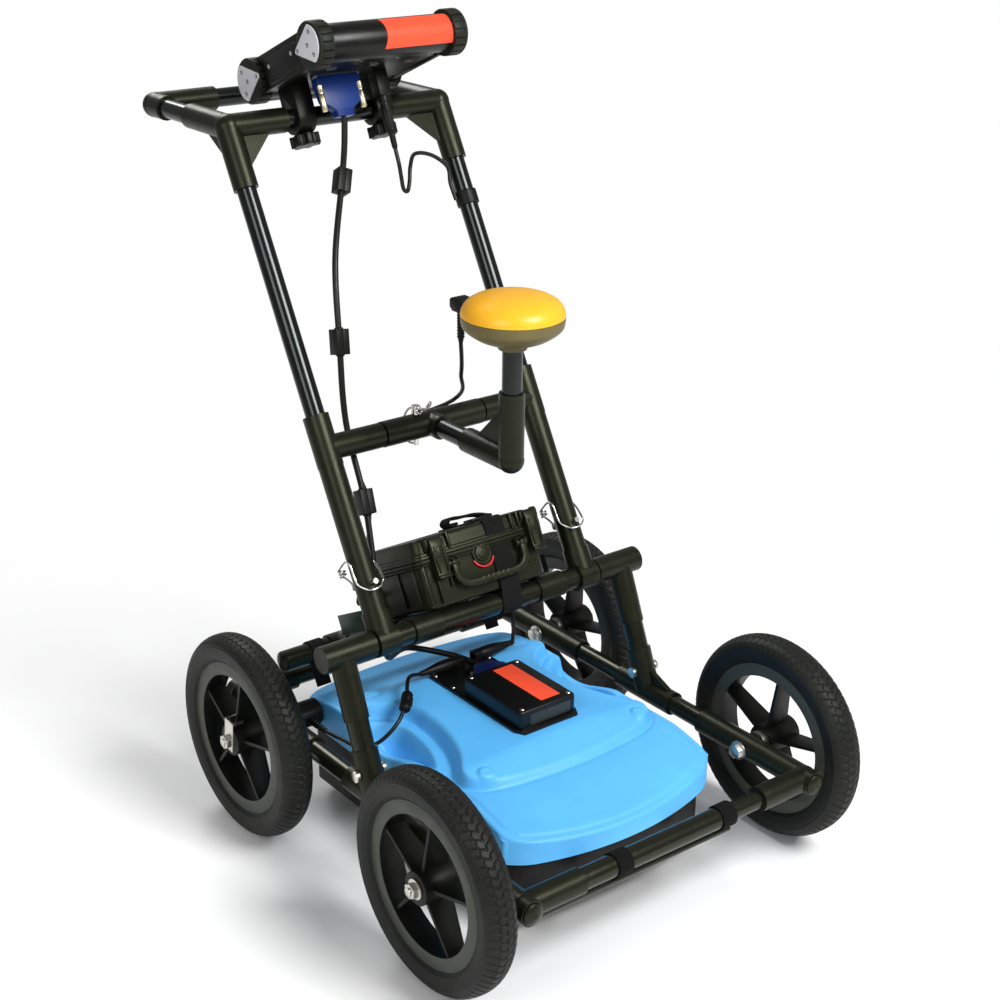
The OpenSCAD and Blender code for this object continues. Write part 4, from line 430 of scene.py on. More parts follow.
# Cords
MAIN_DIA, THIN_DIA = 9, 6
CORD_STEPS, CORD_SIDES = 8, 14
MAIN_ROUTE = [
    console_point(-20, -50, -16.1), (-25, 373, 952), (-35, 366, 904), (-92, 300, 811), (-114, 260, 705),
    (-122, 236, 594), (-128, 182, 490), (-144, 130, 374), (-146, 104, 316), (-138, 114, 274),
    (-60, 176, 240), (6, 146, 218), (20, 101.2, 215),
]
ENCODER_ROUTE = [
    (-212, 171, 152.4), (-206, 140, 152), (-203, 96, 158), (-190, 66, 174), (-160, 62, 196),
    (-130, 82, 213), (-96, 124, 222), (-66.8, 135.2, 215),
]
POWER_ROUTE = [
    console_point(56, -45, -70.6), console_point(56, -45, -92.5), (59, 352, 901), (63.5, 353, 883),
    (72, 355, 878), (80, 361, 890), (88, 370, 910), (106, 384, 924), (136, 384, 919), (160, 376, 900),
    (160, 368, 876), handle_point(161, 0, 595),
]
GPS_ROUTE = [
    (0, 126.85, 717.3), (18, 150, 662), (56, 221, 594), (-100, 240, 556), (-122, 180, 484),
    (-134, 176, 390), (-140, 186, 334), deck_point(-118, 116, 54.5),
]
BATTERY_ROUTE = [
    (106.8, 135.2, 215), (134, 168, 228), (148, 198, 262), (142, 200, 312), deck_point(118, 116, 54.5),
]


def cable(name, route, dia, node, body="chassis"):
    """A round cable through its route's points; returns the piece, its path in metres and its length."""
    path = catmull(route, CORD_STEPS)
    bm = bmesh.new()
    sweep(bm, path, circle(dia / 2, CORD_SIDES))
    ob = piece(name, bm, CABLE, body=body, smooth=60, node=node)
    points = [cart(*p) for p in path]
    return ob, points, sum((b - a).length for a, b in zip(points, points[1:]))


main, main_path, main_length = cable("main_cord", MAIN_ROUTE, MAIN_DIA, "main_cable", None)
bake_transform(main)
power, power_path, power_length = cable("power_cord", POWER_ROUTE, THIN_DIA, "power_cable", None)
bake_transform(power)
encoder_cord, encoder_path, encoder_length = cable("encoder_cord", ENCODER_ROUTE, THIN_DIA, "encoder_cable")
gps_cord, gps_path, gps_length = cable("receiver_cord", GPS_ROUTE, THIN_DIA, "gps_cable")
battery_cord, battery_path, battery_length = cable("battery_cord", BATTERY_ROUTE, THIN_DIA, "battery_cable")


def on_route(route, index):
    """The frame of a point on a route, counted in half steps as in the CAD, with Z along the cable."""
    path = catmull(route, 2)
    head = (path[min(index + 1, len(path) - 1)] - path[max(index - 1, 0)]).normalized()
    side = beside(head)
    turn = Matrix((side, head.cross(side), head)).transposed().to_4x4()
    return Matrix.Translation(cart(*path[index])) @ turn @ Matrix.Scale(MM, 4)


# A ferrite of the main cable has two snap-together halves with a seam, end collars and a latch tongue
FERRITES_AT, ROUND_FERRITE_AT = (4, 8, 12), 10
FERRITE_HALF, FERRITE_SEAM, FERRITE_END = 10.5, 0.25, 18
CORE_HALF, CORE_END = 9.8, 17.2
TONGUE = ((-11.2, -9), both(4), both(6))
COLLAR = [(6.6, 17), (6.4, 19.5), (5.2, 20.5)]
for i, index in enumerate(FERRITES_AT):
    bm = bmesh.new()
    for s in (-1, 1):
        box(bm, both(FERRITE_HALF), (s * FERRITE_SEAM, s * FERRITE_HALF), both(FERRITE_END))
        lathe(bm, [(r, s * h) for r, h in COLLAR], n=24)
    box(bm, both(CORE_HALF), both(CORE_HALF), both(CORE_END))
    box(bm, *TONGUE)
    at = on_route(MAIN_ROUTE, index)
    piece("ferrite_%d" % (i + 1), bm, PLUG_BLACK, at, bevel=1.3, segments=3)
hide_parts("cable_ferrites")
# The encoder cable's ferrite is round, with a groove about its middle
ROUND_HALF, ROUND_GROOVE = [(8.5, 0.6), (8.5, 12), (8.3, 14.5), (5.6, 18), (3.2, 19)], (7.9, 0)
ROUND_TONGUE = ((7.2, 9.4), both(3.4), both(7))
bm = bmesh.new()
lathe(bm, [(r, -h) for r, h in reversed(ROUND_HALF)] + [ROUND_GROOVE] + ROUND_HALF, n=32)
box(bm, *ROUND_TONGUE)
at = on_route(ENCODER_ROUTE, ROUND_FERRITE_AT)
encoder_ferrite = piece("ferrite_4", bm, PLUG_BLACK, at, bevel=0.7)

# Wheels: the flank's points are shares of the tyre's height and half width
TYRE_R, RIM_R, TYRE_W = 152.4, 114.0, 49.0
TYRE_HIGH = TYRE_R - RIM_R
FLANK_SHARES = [(0.0, 0.72), (0.14, 0.88), (0.34, 0.98), (0.52, 1.0), (0.68, 0.96), (0.82, 0.83)]
TREAD_SHARE, CROWN_SHARE, CROWN_POWER = 0.83, 0.82, 2.6
PITCHES, STEPS, LATERAL = 78, 9, 44
AROUND = PITCHES * STEPS
GROOVE_DEEP, GROOVE_SHALLOW, GROOVE_SHARE, GROOVE_LEAN, SHALLOW_FROM = 1.3, 0.8, 0.17, 0.95, 0.85
RING_SHARE, RING_HALF, RING_WAVE = 0.5, 0.03, 0.05
BEAD_SHARES, BEAD_HIGH = ((0.1, 0.16), (0.60, 0.64)), 0.6
LUG_FROM, LUG_SHARE, LUG_DEEP = 0.74, 0.3, 0.9
FLANGE_IN = 92.0
WHEELS = {"fl": (-1, -1), "fr": (1, -1), "rl": (-1, 1), "rr": (1, 1)}


def half_pitch(v):
    """The blocks on one side of the middle line are half a pitch ahead of the others."""
    return 0.5 if v < 0 else 0.0


def tread_depth(turn, v):
    """Depth of the tread's narrow grooves at a turn in pitches and a share v of the half width: slanted
    leaf-shaped blocks that meet in a V on the middle line, parted by wavy rings."""
    wave = RING_WAVE * math.sin(2 * math.pi * (turn + half_pitch(v)))
    if min(abs(v - wave), abs(abs(v) - RING_SHARE - wave)) < RING_HALF:
        return GROOVE_DEEP
    if (turn + GROOVE_LEAN * abs(v) + half_pitch(v)) % 1 < GROOVE_SHARE:
        return GROOVE_DEEP if abs(v) < SHALLOW_FROM else GROOVE_SHALLOW
    return 0.0


def flank_width(turn, r, w):
    """Distance from the tyre's middle on a sidewall, with bead rings and gaps between shoulder lugs."""
    share = (r - RIM_R) / TYRE_HIGH
    if any(low < share < high for low, high in BEAD_SHARES):
        w += math.copysign(BEAD_HIGH, w)
    if share > LUG_FROM and (turn + half_pitch(w) + GROOVE_LEAN) % 1 < LUG_SHARE:
        w -= math.copysign(LUG_DEEP, w)
    return w


def tyre_mesh():
    """One tyre about X: sidewalls with bead rings and shoulder lugs, and a crown of slanted tread blocks."""
    flank = catmull([(a, b, 0) for a, b in FLANK_SHARES], 4)
    across = [(RIM_R + p.x * TYRE_HIGH, p.y * TYRE_W / 2, None) for p in flank]
    for k in range(1, LATERAL):
        v = 1 - 2 * k / LATERAL
        # The crown rises from the shoulder to the full radius
        share = CROWN_SHARE + (1 - CROWN_SHARE) * (1 - abs(v) ** CROWN_POWER)
        across.append((RIM_R + TYRE_HIGH * share, TREAD_SHARE * v * TYRE_W / 2, v))
    across += [(r, -w, None) for r, w, _ in reversed(across[: len(flank)])]
    bm = bmesh.new()
    rings = []
    for s in range(AROUND):
        turn = s / STEPS
        ring = []
        for r, w, v in across:
            if v is None:
                w = flank_width(turn, r, w)
            else:
                r -= tread_depth(turn, v)
            ring.append(bm.verts.new((w, *polar(r, 360 * s / AROUND))))
        rings.append(ring)
    skin(bm, rings, closed=True)
    return bm


for key, (sx, sy) in WHEELS.items():
    at, node = local(sx * AXLE_X, sy * AXLE_Y, AXLE_Z), "tyre_" + key
    piece(node + "_tread", tyre_mesh(), TYRE, at, BODY_OF[node], smooth=24, node=node)
    rim = from_node("rim_" + key, bevel=1.1).data
    # The flat flange is a paler grey plastic; the spokes and the barrel inside it keep the near-black finish,
    # which is painted shade of the rim's deep recess
    rim.materials.append(FLANGE)
    for f in rim.polygons:
        corners = [at.inverted() @ rim.vertices[i].co for i in f.vertices]
        if abs(f.normal.x) > 0.5 and min(math.hypot(c.y, c.z) for c in corners) > FLANGE_IN:
            f.material_index = 1

# CAD forms that only have their edges eased, with the width of each bevel
EASED = {"console_clamps": 1.2, "knob_left": 1.6, "knob_right": 1.6, "case_tray": 1.0, "antenna_skid": 4.0,
         "encoder": 0.6, "frame_bolts": 0.5, "drive_axle": 0.6, "end_plugs": 0.8, "console_body": 2.5}
for node, width in EASED.items():
    from_node(node, bevel=width)

# Antenna's shell: half sizes of skirt and raised deck, radius of their bowed ends, and their clipped corners
SHELL_MID, SHELL_LOW, SHELL_TOP = 21, 120, 203
SHELL_HALF_W, SHELL_HALF_L, SHELL_BOW, SHELL_CUT = 186.0, 289.0, 455.0, 424.0
RAISED_W, RAISED_L, RAISED_BOW, RAISED_CUT = 172.0, 169.0, 788.0, 304.0
# The scoop is egg-shaped in plan, with a long front flank and a short rear one; BOWL is (distance, height)
SCOOP_X, SCOOP_Y, SCOOP_R = 217.8, 45.0, 99.0
SCOOP_WIDE, SCOOP_FRONT, SCOOP_REAR = 106.8, 190.0, 72.0
BOWL = [
    (0, 130), (40, 131), (50, 134), (57, 141), (63, 153), (69, 168), (75, 181), (80, 187.5), (86, 191),
    (94, 194.5), (98, 197.5), (101, 201), (105, 203),
]
LIP_LOW, LIP_RISE, LIP_Y, LIP_RUN, LIP_IN, LIP_WIDE = 152, 12.5, 55, 115, 163, 13
APRON_LOW, APRON_RISE, APRON_RUN, APRON_POWER = 148, 30, 125, 1.35
STEP_DEEP, STEP_IN, STEP_WIDE = 2.2, 14, 4
FLAT_L, DECK_FALL, DECK_POWER, DECK_CROWN = 113, 20.5, 1.5, 6.5
WALL_OUT, WALL_WIDE, CLIP_SLOPE = 4, 7, math.sqrt(0.5)
# Crest and crease along the raised deck's wall: height, place and width
CREST, CREASE = (0.7, 7, 3), (-2.6, -4.5, 2.6)
BOSS_X, BOSS_Y, BOSS_R, BOSS_HIGH, BOSS_SLOPE = 139.0, 141.0, 13.5, 4.2, 5
BOSS_MOAT, BOSS_DIMPLE = (-0.9, 15.5, 2.2), (-0.8, 0, 6)
EDGE_R = 5
# How far each corner between two of the shell's lines is rounded
SOFT_END, SOFT_EDGE, SOFT_DECK, SOFT_CLIP, SOFT_SCOOP = 12, 10, 16, 22, 14
NEAR_EDGE = [0, 0.35, 0.9, 1.7, 2.8, 4.2, 6, 8, 9.2, 10.4, 11.6, 13, 15]
SAMPLE, SMOOTHING = 4.6, 3


def eased(t):
    t = min(1.0, max(0.0, t))
    return t * t * (3 - 2 * t)


def soft_min(a, b, k):
    """The smaller of two distances, rounded where they meet."""
    h = max(k - abs(a - b), 0) / k
    return min(a, b) - h * h * k / 4


def bell(d, form):
    """A low ridge or groove at a distance d."""
    high, mid, width = form
    return high * math.exp(-(((d - mid) / width) ** 2))


def shell_end(x):
    """Half length of the shell at x, and how far the edge there leans from the crossways line."""
    root = math.sqrt(SHELL_BOW ** 2 - x * x)
    bowed, clipped = SHELL_HALF_L - (SHELL_BOW - root), SHELL_CUT - abs(x)
    return soft_min(bowed, clipped, SOFT_END), (CLIP_SLOPE if clipped < bowed else root / SHELL_BOW)


def bowl_height(r):
    for (r0, z0), (r1, z1) in zip(BOWL, BOWL[1:]):
        if r <= r1:
            return z0 + (z1 - z0) * (r - r0) / (r1 - r0)


def scoop_lip(v):
    """Height of the scoop's outer lip, which sags to its lowest behind the middle."""
    return LIP_LOW + LIP_RISE * (1 - math.cos(math.pi * min(1.0, abs(v - LIP_Y) / LIP_RUN)))


def shell_height(x, v):
    """The blow-moulded top: a bowed skirt with a stepped lip, a raised deck, two scoops and four bosses."""
    ax, av = abs(x), abs(v)
    end, lean = shell_end(x)
    to_end = (end - av) * lean
    edge = min(soft_min(to_end, SHELL_HALF_W - ax, SOFT_EDGE), to_end)
    apron = APRON_LOW + APRON_RISE * (1 - (1 - min(1.0, (SHELL_HALF_L - av) / APRON_RUN)) ** APRON_POWER)
    apron -= STEP_DEEP * eased((STEP_IN - edge) / STEP_WIDE)
    to_bow = RAISED_L - (RAISED_BOW - math.sqrt(RAISED_BOW ** 2 - x * x)) - av
    inside = soft_min(RAISED_W - ax, to_bow, SOFT_DECK)
    inside = soft_min(inside, (RAISED_CUT - ax - av) * CLIP_SLOPE, SOFT_CLIP)
    scoop_long = SCOOP_FRONT if v < SCOOP_Y else SCOOP_REAR
    to_scoop = SCOOP_R * math.hypot((ax - SCOOP_X) / SCOOP_WIDE, (v - SCOOP_Y) / scoop_long)
    inside = soft_min(inside, to_scoop - SCOOP_R + WALL_OUT, SOFT_SCOOP)
    slope = max(0.0, (av - FLAT_L) / (RAISED_L - FLAT_L))
    crown = DECK_CROWN * (ax / RAISED_W) ** 2 * max(0.0, 1 - slope)
    deck = SHELL_TOP - DECK_FALL * slope ** DECK_POWER - crown
    z = apron + (deck - apron) * eased((inside + WALL_OUT) / WALL_WIDE)
    z += bell(inside, CREST) + bell(inside, CREASE)
    boss = math.hypot(ax - BOSS_X, av - BOSS_Y)
    z += BOSS_HIGH * eased((BOSS_R - boss) / BOSS_SLOPE) + bell(boss, BOSS_MOAT) + bell(boss, BOSS_DIMPLE)
    if to_scoop < BOWL[-1][0]:
        bowl = bowl_height(to_scoop)
        z = min(z, bowl + max(0.0, scoop_lip(v) - bowl) * eased((ax - LIP_IN) / LIP_WIDE))
    short = EDGE_R - min(EDGE_R, max(0.0, edge))
    return min(SHELL_TOP, z - EDGE_R + math.sqrt(EDGE_R ** 2 - short ** 2))


def shell_samples(length):
    """Distances along a line across the shell, close together at both edges."""
    inset = NEAR_EDGE[-1]
    count = 2 * round((2 * SHELL_HALF_L - 2 * inset) / SAMPLE)
    middle = [inset + (length - 2 * inset) * k / count for k in range(1, count)]
    return NEAR_EDGE + middle + [length - d for d in reversed(NEAR_EDGE)]


bm = bmesh.new()
columns = []
for across in shell_samples(2 * SHELL_HALF_W):
    x = across - SHELL_HALF_W
    end, _ = shell_end(x)
    columns.append([bm.verts.new((x, d - end, shell_height(x, d - end))) for d in shell_samples(2 * end)])
for p, q in zip(columns, columns[1:]):
    for k in range(len(p) - 1):
        bm.faces.new((p[k], q[k], q[k + 1], p[k + 1]))
hem = [c[0] for c in columns] + columns[-1][1:] + [c[-1] for c in columns[-2::-1]] + columns[0][-2:0:-1]
foot = [bm.verts.new((w.co.x, w.co.y, SHELL_LOW)) for w in hem]
join(bm, hem, foot)
bm.faces.new(foot[::-1])
inner = [w for c in columns[1:-1] for w in c[1:-1]]
for turn in range(SMOOTHING):
    bmesh.ops.smooth_vert(bm, verts=inner, factor=0.5, use_axis_z=True)
piece("antenna_cover", bm, SHELL_BLUE, local(0, SHELL_MID, 0), smooth=70, node="antenna_shell")

# Battery case, in the deck's frame: plans shared by base and lid are (width, depth, corner radius)
CASE_MID = 70.0
WALL, BEAD, BODY_EDGE = (212, 184, 15), (219, 188, 15), (208.5, 180.5, 15)
LIP_EASED, LIP, LIP_FACE = (223.6, 192.5, 15), (224, 193, 15), (222.5, 191.5, 15)
MOUTH, MOUTH_EASED, CAVITY = (206, 178, 12), (204, 176, 12), (203, 175, 12)
BASE_FORM = [
    ((196, 168, 12), 19), ((205, 177, 14), 20.5), (BODY_EDGE, 26), (WALL, 70), (WALL, 80), (BEAD, 81.5),
    (BEAD, 84.5), (LIP_EASED, 85.5), (LIP, 89.2), (LIP_FACE, 90), (MOUTH, 90), (MOUTH_EASED, 89),
    (CAVITY, 23),
]
LID_FORM = [
    ((160, 132, 10), 119.2), ((166, 138, 12), 119.2), ((168, 140, 12), 121), ((196, 168, 14), 121),
    ((204, 176, 15), 119.8), (BODY_EDGE, 116.5), ((211, 183, 15), 108), (WALL, 100), (BEAD, 99),
    (BEAD, 95.8), (LIP_EASED, 95), (LIP, 91.2), (LIP_FACE, 90.4), (MOUTH, 90.4), (MOUTH_EASED, 92),
    (CAVITY, 117),
]
# Pairs of ribs stand beside the latches; each rib is (half thickness, Y ends, Z ends)
PAIRED_RIBS, CORNER_RIBS, LID_TOP_RIBS = (-62, -50, 64, 76), (-103, -84), (-55, -18, 18, 55)
BASE_RIB, CORNER_RIB = (2.0, (-26.5, -20), (44, 82)), (1.6, (-26, -20), (24, 82))
LID_RIB, LID_TOP_RIB = (2.0, (-26.5, -18), (97, 120.4)), (3, (20, 122), (118, 120.6))
SIDE_RIBS, SIDE_RIB_HALF, SIDE_RIB_X, SIDE_RIB_Z = (-2, 40, 100, 142), 1.6, (104, 108.2), (30, 82)
GRIP_LEGS, GRIP_AXIS, GRIP_PIN_R, GRIP_PIN_HALF = (-55, 67), (0, -32, 76), 2.4, 9
GRIP_EAR = [(-21, 66), (-30, 69), (-34.2, 73), (-34.2, 79), (-30, 83), (-21, 84)]
GRIP_EAR_OUT, GRIP_EAR_HALF = 7.9, 1.6
GLAND, GLAND_AT = [(9, 0), (9, 3), (7, 4), (7, 10), (6, 12)], (106, 116, 54.5)
HINGE, KNUCKLE_R, LEAF_Y = (0, 169.4, 90.2), 4, 158
BASE_KNUCKLE, BASE_LEAF, LID_KNUCKLE, LID_LEAF = (61.4, 79.4), (84.5, 88), (43, 61), (92, 95)
HINGE_PIN_R, HINGE_PIN = 1.9, (41.4, 80.2)
LATCHES, LATCH_AXIS, LATCH_PIN_R, LATCH_PIN_HALF = {"left": -77, "right": 93}, (0, -28, 115), 1.9, 15
LATCH_EAR = [(-20, 99), (-26, 101), (-31.6, 108), (-31.6, 117), (-28, 120.6), (-18, 121)]
LATCH_EAR_OUT, LATCH_EAR_HALF = 13.4, 2


def case_form(bm, form):
    loft(bm, [(rounded(w, d, r, 5, CASE_MID), h) for (w, d, r), h in form])


def rib(bm, x, form):
    half, y, z = form
    box(bm, both(half, x), y, z)


def slab(bm, outline, x, half):
    """An outline in the Y-Z plane, as thick as twice half, about x."""
    prism(bm, outline, *both(half, x), axes=YZX)


def knuckles(bm, ends, leaf):
    for side in (-1, 1):
        x = [side * e for e in ends]
        rod(bm, KNUCKLE_R, x, "X", HINGE)
        box(bm, x, (LEAF_Y, HINGE[1]), leaf)


bm = bmesh.new()
case_form(bm, BASE_FORM)
for x in PAIRED_RIBS:
    rib(bm, x, BASE_RIB)
for x in CORNER_RIBS:
    rib(bm, x, CORNER_RIB)
knuckles(bm, BASE_KNUCKLE, BASE_LEAF)
for side in (-1, 1):
    for s in SIDE_RIBS:
        box(bm, [side * e for e in SIDE_RIB_X], both(SIDE_RIB_HALF, s), SIDE_RIB_Z)
    for x in GRIP_LEGS:
        slab(bm, GRIP_EAR, x + side * GRIP_EAR_OUT, GRIP_EAR_HALF)
    lathe(bm, [(r, side * h) for r, h in GLAND], "X", (side * GLAND_AT[0], *GLAND_AT[1:]), 24)
    rod(bm, HINGE_PIN_R, [side * e for e in HINGE_PIN], "X", HINGE, 20)
for x in GRIP_LEGS:
    rod(bm, GRIP_PIN_R, both(GRIP_PIN_HALF, x), "X", GRIP_AXIS, 20)
piece("case_base_shell", bm, CASE, DECK, bevel=0.9, angle=28, node="case_base")

# Valve: a stepped knob with twelve teeth, and the red crescent under it
VALVE_Z, VALVE_TEETH, TOOTH_OUT, TOOTH_R, TOOTH_Y = 77, 12, 11.4, 1.5, (-27.2, -23)
VALVE = [
    (16.6, -22), (16.6, -24.6), (15.8, -25.6), (13, -25.6), (12.6, -24.4), (12.2, -24.4), (12, -26.4),
    (11, -27.4), (8.5, -27.6), (8, -28.6), (5.5, -29), (0, -29),
]
CRESCENT_X, CRESCENT_Y, CRESCENT_Z, CRESCENT_R, CRESCENT_TURN = 1, -23.8, 75.5, 18.4, range(112, 256, 6)
CRESCENT_TIP, CRESCENT_SWELL, CRESCENT_THICK = 1.6, 4.2, 2.4
bm = bmesh.new()
lathe(bm, VALVE, "Y", (0, 0, VALVE_Z))
for k in range(VALVE_TEETH):
    z, x = polar(TOOTH_OUT, 360 / VALVE_TEETH * k)
    rod(bm, TOOTH_R, TOOTH_Y, "Y", (x, 0, VALVE_Z + z), 10)
piece("case_valve", bm, CASE, DECK, bevel=0.4)
bm = bmesh.new()
arc = [polar(CRESCENT_R, a) for a in CRESCENT_TURN]
sweep(
    bm, [Vector((CRESCENT_X + x, CRESCENT_Y, CRESCENT_Z + z)) for z, x in arc],
    lambda s: rounded(CRESCENT_TIP + CRESCENT_SWELL * math.sin(math.pi * s), CRESCENT_THICK, 0.7, 3),
    start=(0, 1, 0),
)
piece("case_valve_ring", bm, VALVE_RED, DECK)

bm = bmesh.new()
case_form(bm, LID_FORM)
for x in PAIRED_RIBS:
    rib(bm, x, LID_RIB)
for x in LID_TOP_RIBS:
    rib(bm, x, LID_TOP_RIB)
for x in LATCHES.values():
    for ear in both(LATCH_EAR_OUT, x):
        slab(bm, LATCH_EAR, ear, LATCH_EAR_HALF)
    rod(bm, LATCH_PIN_R, both(LATCH_PIN_HALF, x), "X", LATCH_AXIS, 16)
knuckles(bm, LID_KNUCKLE, LID_LEAF)
piece("case_lid_shell", bm, CASE, DECK, "lid", bevel=0.9, angle=28, node="case_lid")

# Latches: a hooked lever with two ribs and a raised pad
LEVER_HALF, LEVER_RIB_OUT = 11, 7
LEVER = [
    (-29.6, 59), (-33, 57.5), (-38.4, 58.5), (-39, 61), (-36.6, 64), (-36.4, 84), (-37.6, 96), (-36.8, 108),
    (-34, 116.5), (-29.8, 119.4), (-25.4, 118.2), (-24.2, 115), (-25, 111.6), (-29.5, 108),
]
LEVER_RIB, LEVER_PAD = (1.4, (-39.2, -35), (66, 106)), (4, (-38, -35), (88, 104))
for side, x in LATCHES.items():
    bm = bmesh.new()
    slab(bm, LEVER, x, LEVER_HALF)
    for across in both(LEVER_RIB_OUT, x):
        rib(bm, across, LEVER_RIB)
    rib(bm, x, LEVER_PAD)
    node = "latch_" + side
    piece(node + "_lever", bm, CASE, DECK, side + "_latch", bevel=1.2, segments=3, node=node)

# Carry handle: two bent legs and a grip with six finger ridges
LEG = [(0, 0), (0, -14), (1, -22), (7, -30.5), (16, -35), (30, -36)]
GRIP_SECTION, GRIP_HUB_R, GRIP_HUB_HALF = rounded(8, 11, 2.6, 3), 5.2, 4.6
RIDGES, RIDGE_FIRST, RIDGE_PITCH, RIDGE = 6, -16, 9, (2, (-36.8, -27.2), (34.4, 45.6))
bm = bmesh.new()
leg_left, leg_right = GRIP_LEGS
loop = [(leg_left + d, h) for d, h in LEG] + [((leg_left + leg_right) / 2, LEG[-1][1])]
loop += [(leg_right - d, h) for d, h in reversed(LEG)]
sweep(
    bm, [Vector((x, GRIP_AXIS[1], GRIP_AXIS[2] + h)) for x, h in loop], GRIP_SECTION,
    start=(0, 1, 0),
)
for x in GRIP_LEGS:
    rod(bm, GRIP_HUB_R, both(GRIP_HUB_HALF, x), "X", GRIP_AXIS)
for k in range(RIDGES):
    rib(bm, RIDGE_FIRST + RIDGE_PITCH * k, RIDGE)
piece("case_handle_grip", bm, CASE, DECK, "grip", bevel=0.6, node="case_handle")

# Straps: the hold-down strap's runs are (Y, Z) points, and its loose fold's are (X, Z) points
STRAP_X, STRAP_WIDE, FOLD_Y, FOLD_WIDE, FOLD_THICK = 34, 34, 13, 24, 4.2
WEB_R, SLING_R, SLING_WIDE = 17.4, 16.4, 25
STRAP_FRONT = [(-18.6, 6), (-21.2, 14), (-23.4, 24), (-23.6, 40), (-23.4, 60), (-23.6, 76), (-24.4, 82.6)]
STRAP_OVER = [
    (-24.2, 97.4), (-23.6, 106), (-22.8, 115), (-19.5, 121.6), (-12, 123), (10, 122.6), (40, 122.6),
    (70, 122.8), (98, 122.6),
]
# The loose end arches across the lid's front and ends in a thick roll
FOLD = [
    (53, 125.6), (47, 127), (36, 130.6), (22, 133.4), (8, 134), (-3, 134.8), (-13, 136.2), (-20, 135),
    (-23.5, 130.4), (-20.5, 126), (-14, 125), (-8.6, 127.4),
]
BUCKLE_X, BUCKLE_Y, BUCKLE_LOW, BUCKLE_HIGH = (16, 20, 48, 52), (1, 4, 22, 25), (121, 126), (123.6, 127.4)
SLING_X, SLING_Y, HANGER_X = 93, -341, 160
SLING_TAIL = [(4, -17), (18, -22.5), (40, -36), (62, -48), (77, -56)]
HOLD_TURN, SLING_TURN, HANGER_TURN = (-60, 268), (-150, 215), (-160, 190)
SLING_STEP, BAND_ROUND_SHARE = 9, 0.42
HANGER_DROP = [(0, -16.6), (0.6, -30), (0.2, -44), (0, -52)]


def band(name, path, body, finish, width, at, thick=2.0, across=(1, 0, 0), node=None):
    bm = bmesh.new()
    sweep(bm, [Vector(p) for p in path], rounded(width, thick, thick * BAND_ROUND_SHARE, 2), start=across)
    piece(name, bm, finish, at, body, smooth=50, node=node)


def wrap(r, start, end, step=10):
    """Y-Z points on a circle from one angle to another in degrees, 0 at the top and 90 at the back."""
    count = max(2, int(abs(end - start) / step))
    turns = [start + (end - start) * k / count for k in range(count + 1)]
    return [(r * sind(a), r * cosd(a)) for a in turns]


def upright(points, x=0.0):
    """Y-Z points at one x."""
    return [(x, y, z) for y, z in points]


hold = upright(wrap(WEB_R, *HOLD_TURN), STRAP_X) + catmull(upright(STRAP_FRONT, STRAP_X), 3)
band("case_strap_band", hold, "chassis", WEBBING, STRAP_WIDE, DECK, node="case_strap")
over = catmull(upright(STRAP_OVER, STRAP_X), 4)
band("case_strap_tail", over, "lid", WEBBING, STRAP_WIDE, DECK, node="strap_tail")
fold = catmull([(x, FOLD_Y, z) for x, z in FOLD], 5)
band("case_strap_fold", fold, "lid", WEBBING, FOLD_WIDE, DECK, thick=FOLD_THICK, across=(0, 1, 0))
bm = bmesh.new()
for i in (0, 2):
    box(bm, BUCKLE_X[i:i + 2], BUCKLE_Y[::3], BUCKLE_LOW)
    box(bm, BUCKLE_X[::3], BUCKLE_Y[i:i + 2], BUCKLE_HIGH)
piece("case_strap_buckle", bm, PLUG_BLACK, DECK, "lid", bevel=1.0, segments=3)

for i, side in enumerate((-1, 1)):
    at = local(side * SLING_X, SLING_Y, AXLE_Z)
    ring = upright(wrap(SLING_R, *SLING_TURN, SLING_STEP))
    first = "antenna_straps" if i == 0 else None
    band("front_sling_%d" % (i + 1), ring, "chassis", HOOK, SLING_WIDE, at, node=first)
    band("front_sling_tail_%d" % (i + 1), catmull(upright(SLING_TAIL), 3), "chassis", HOOK, SLING_WIDE, at)
    at = moved(DECK, side * HANGER_X, DECK_LONG, 0)
    ring = upright(wrap(WEB_R, *HANGER_TURN, SLING_STEP))
    band("rear_hanger_%d" % (i + 1), ring, "chassis", WEBBING, SLING_WIDE, at)
    band("rear_hanger_drop_%d" % (i + 1), upright(HANGER_DROP), "chassis", WEBBING, SLING_WIDE, at)

# Wire bails of the lock pins
PIN_Z, WIRE_R = 82, 1.6
# A handle bail's loop as (angle round the tube, radius, height along it): down the near side, under the pin's
# tip in front, up the far side and behind to the pin's head. A small coil stands beside the tube.
HOOP = [
    (-100, 24, 36), (-80, 23, 36), (-68, 23, 29), (-66, 23, 12), (-56, 24, 0), (-24, 25.6, -10),
    (10, 25.6, -9), (44, 24.6, -3), (64, 24, 6), (84, 24, 18), (104, 25, 27), (130, 27.5, 27),
    (156, 28.5, 16), (170, 27, 4),
]
BAIL_START, BAIL_END = [(-3.2, 26, 0.5), (-7, 25.8, 3), (-10, 25.4, 9)], (3.6, 26, 0)
COIL_X, COIL_Y, COIL_Z, COIL_R, COIL_RISE, COIL_POINTS = -18.5, 24.5, 18, 4.4, 0.85, 13
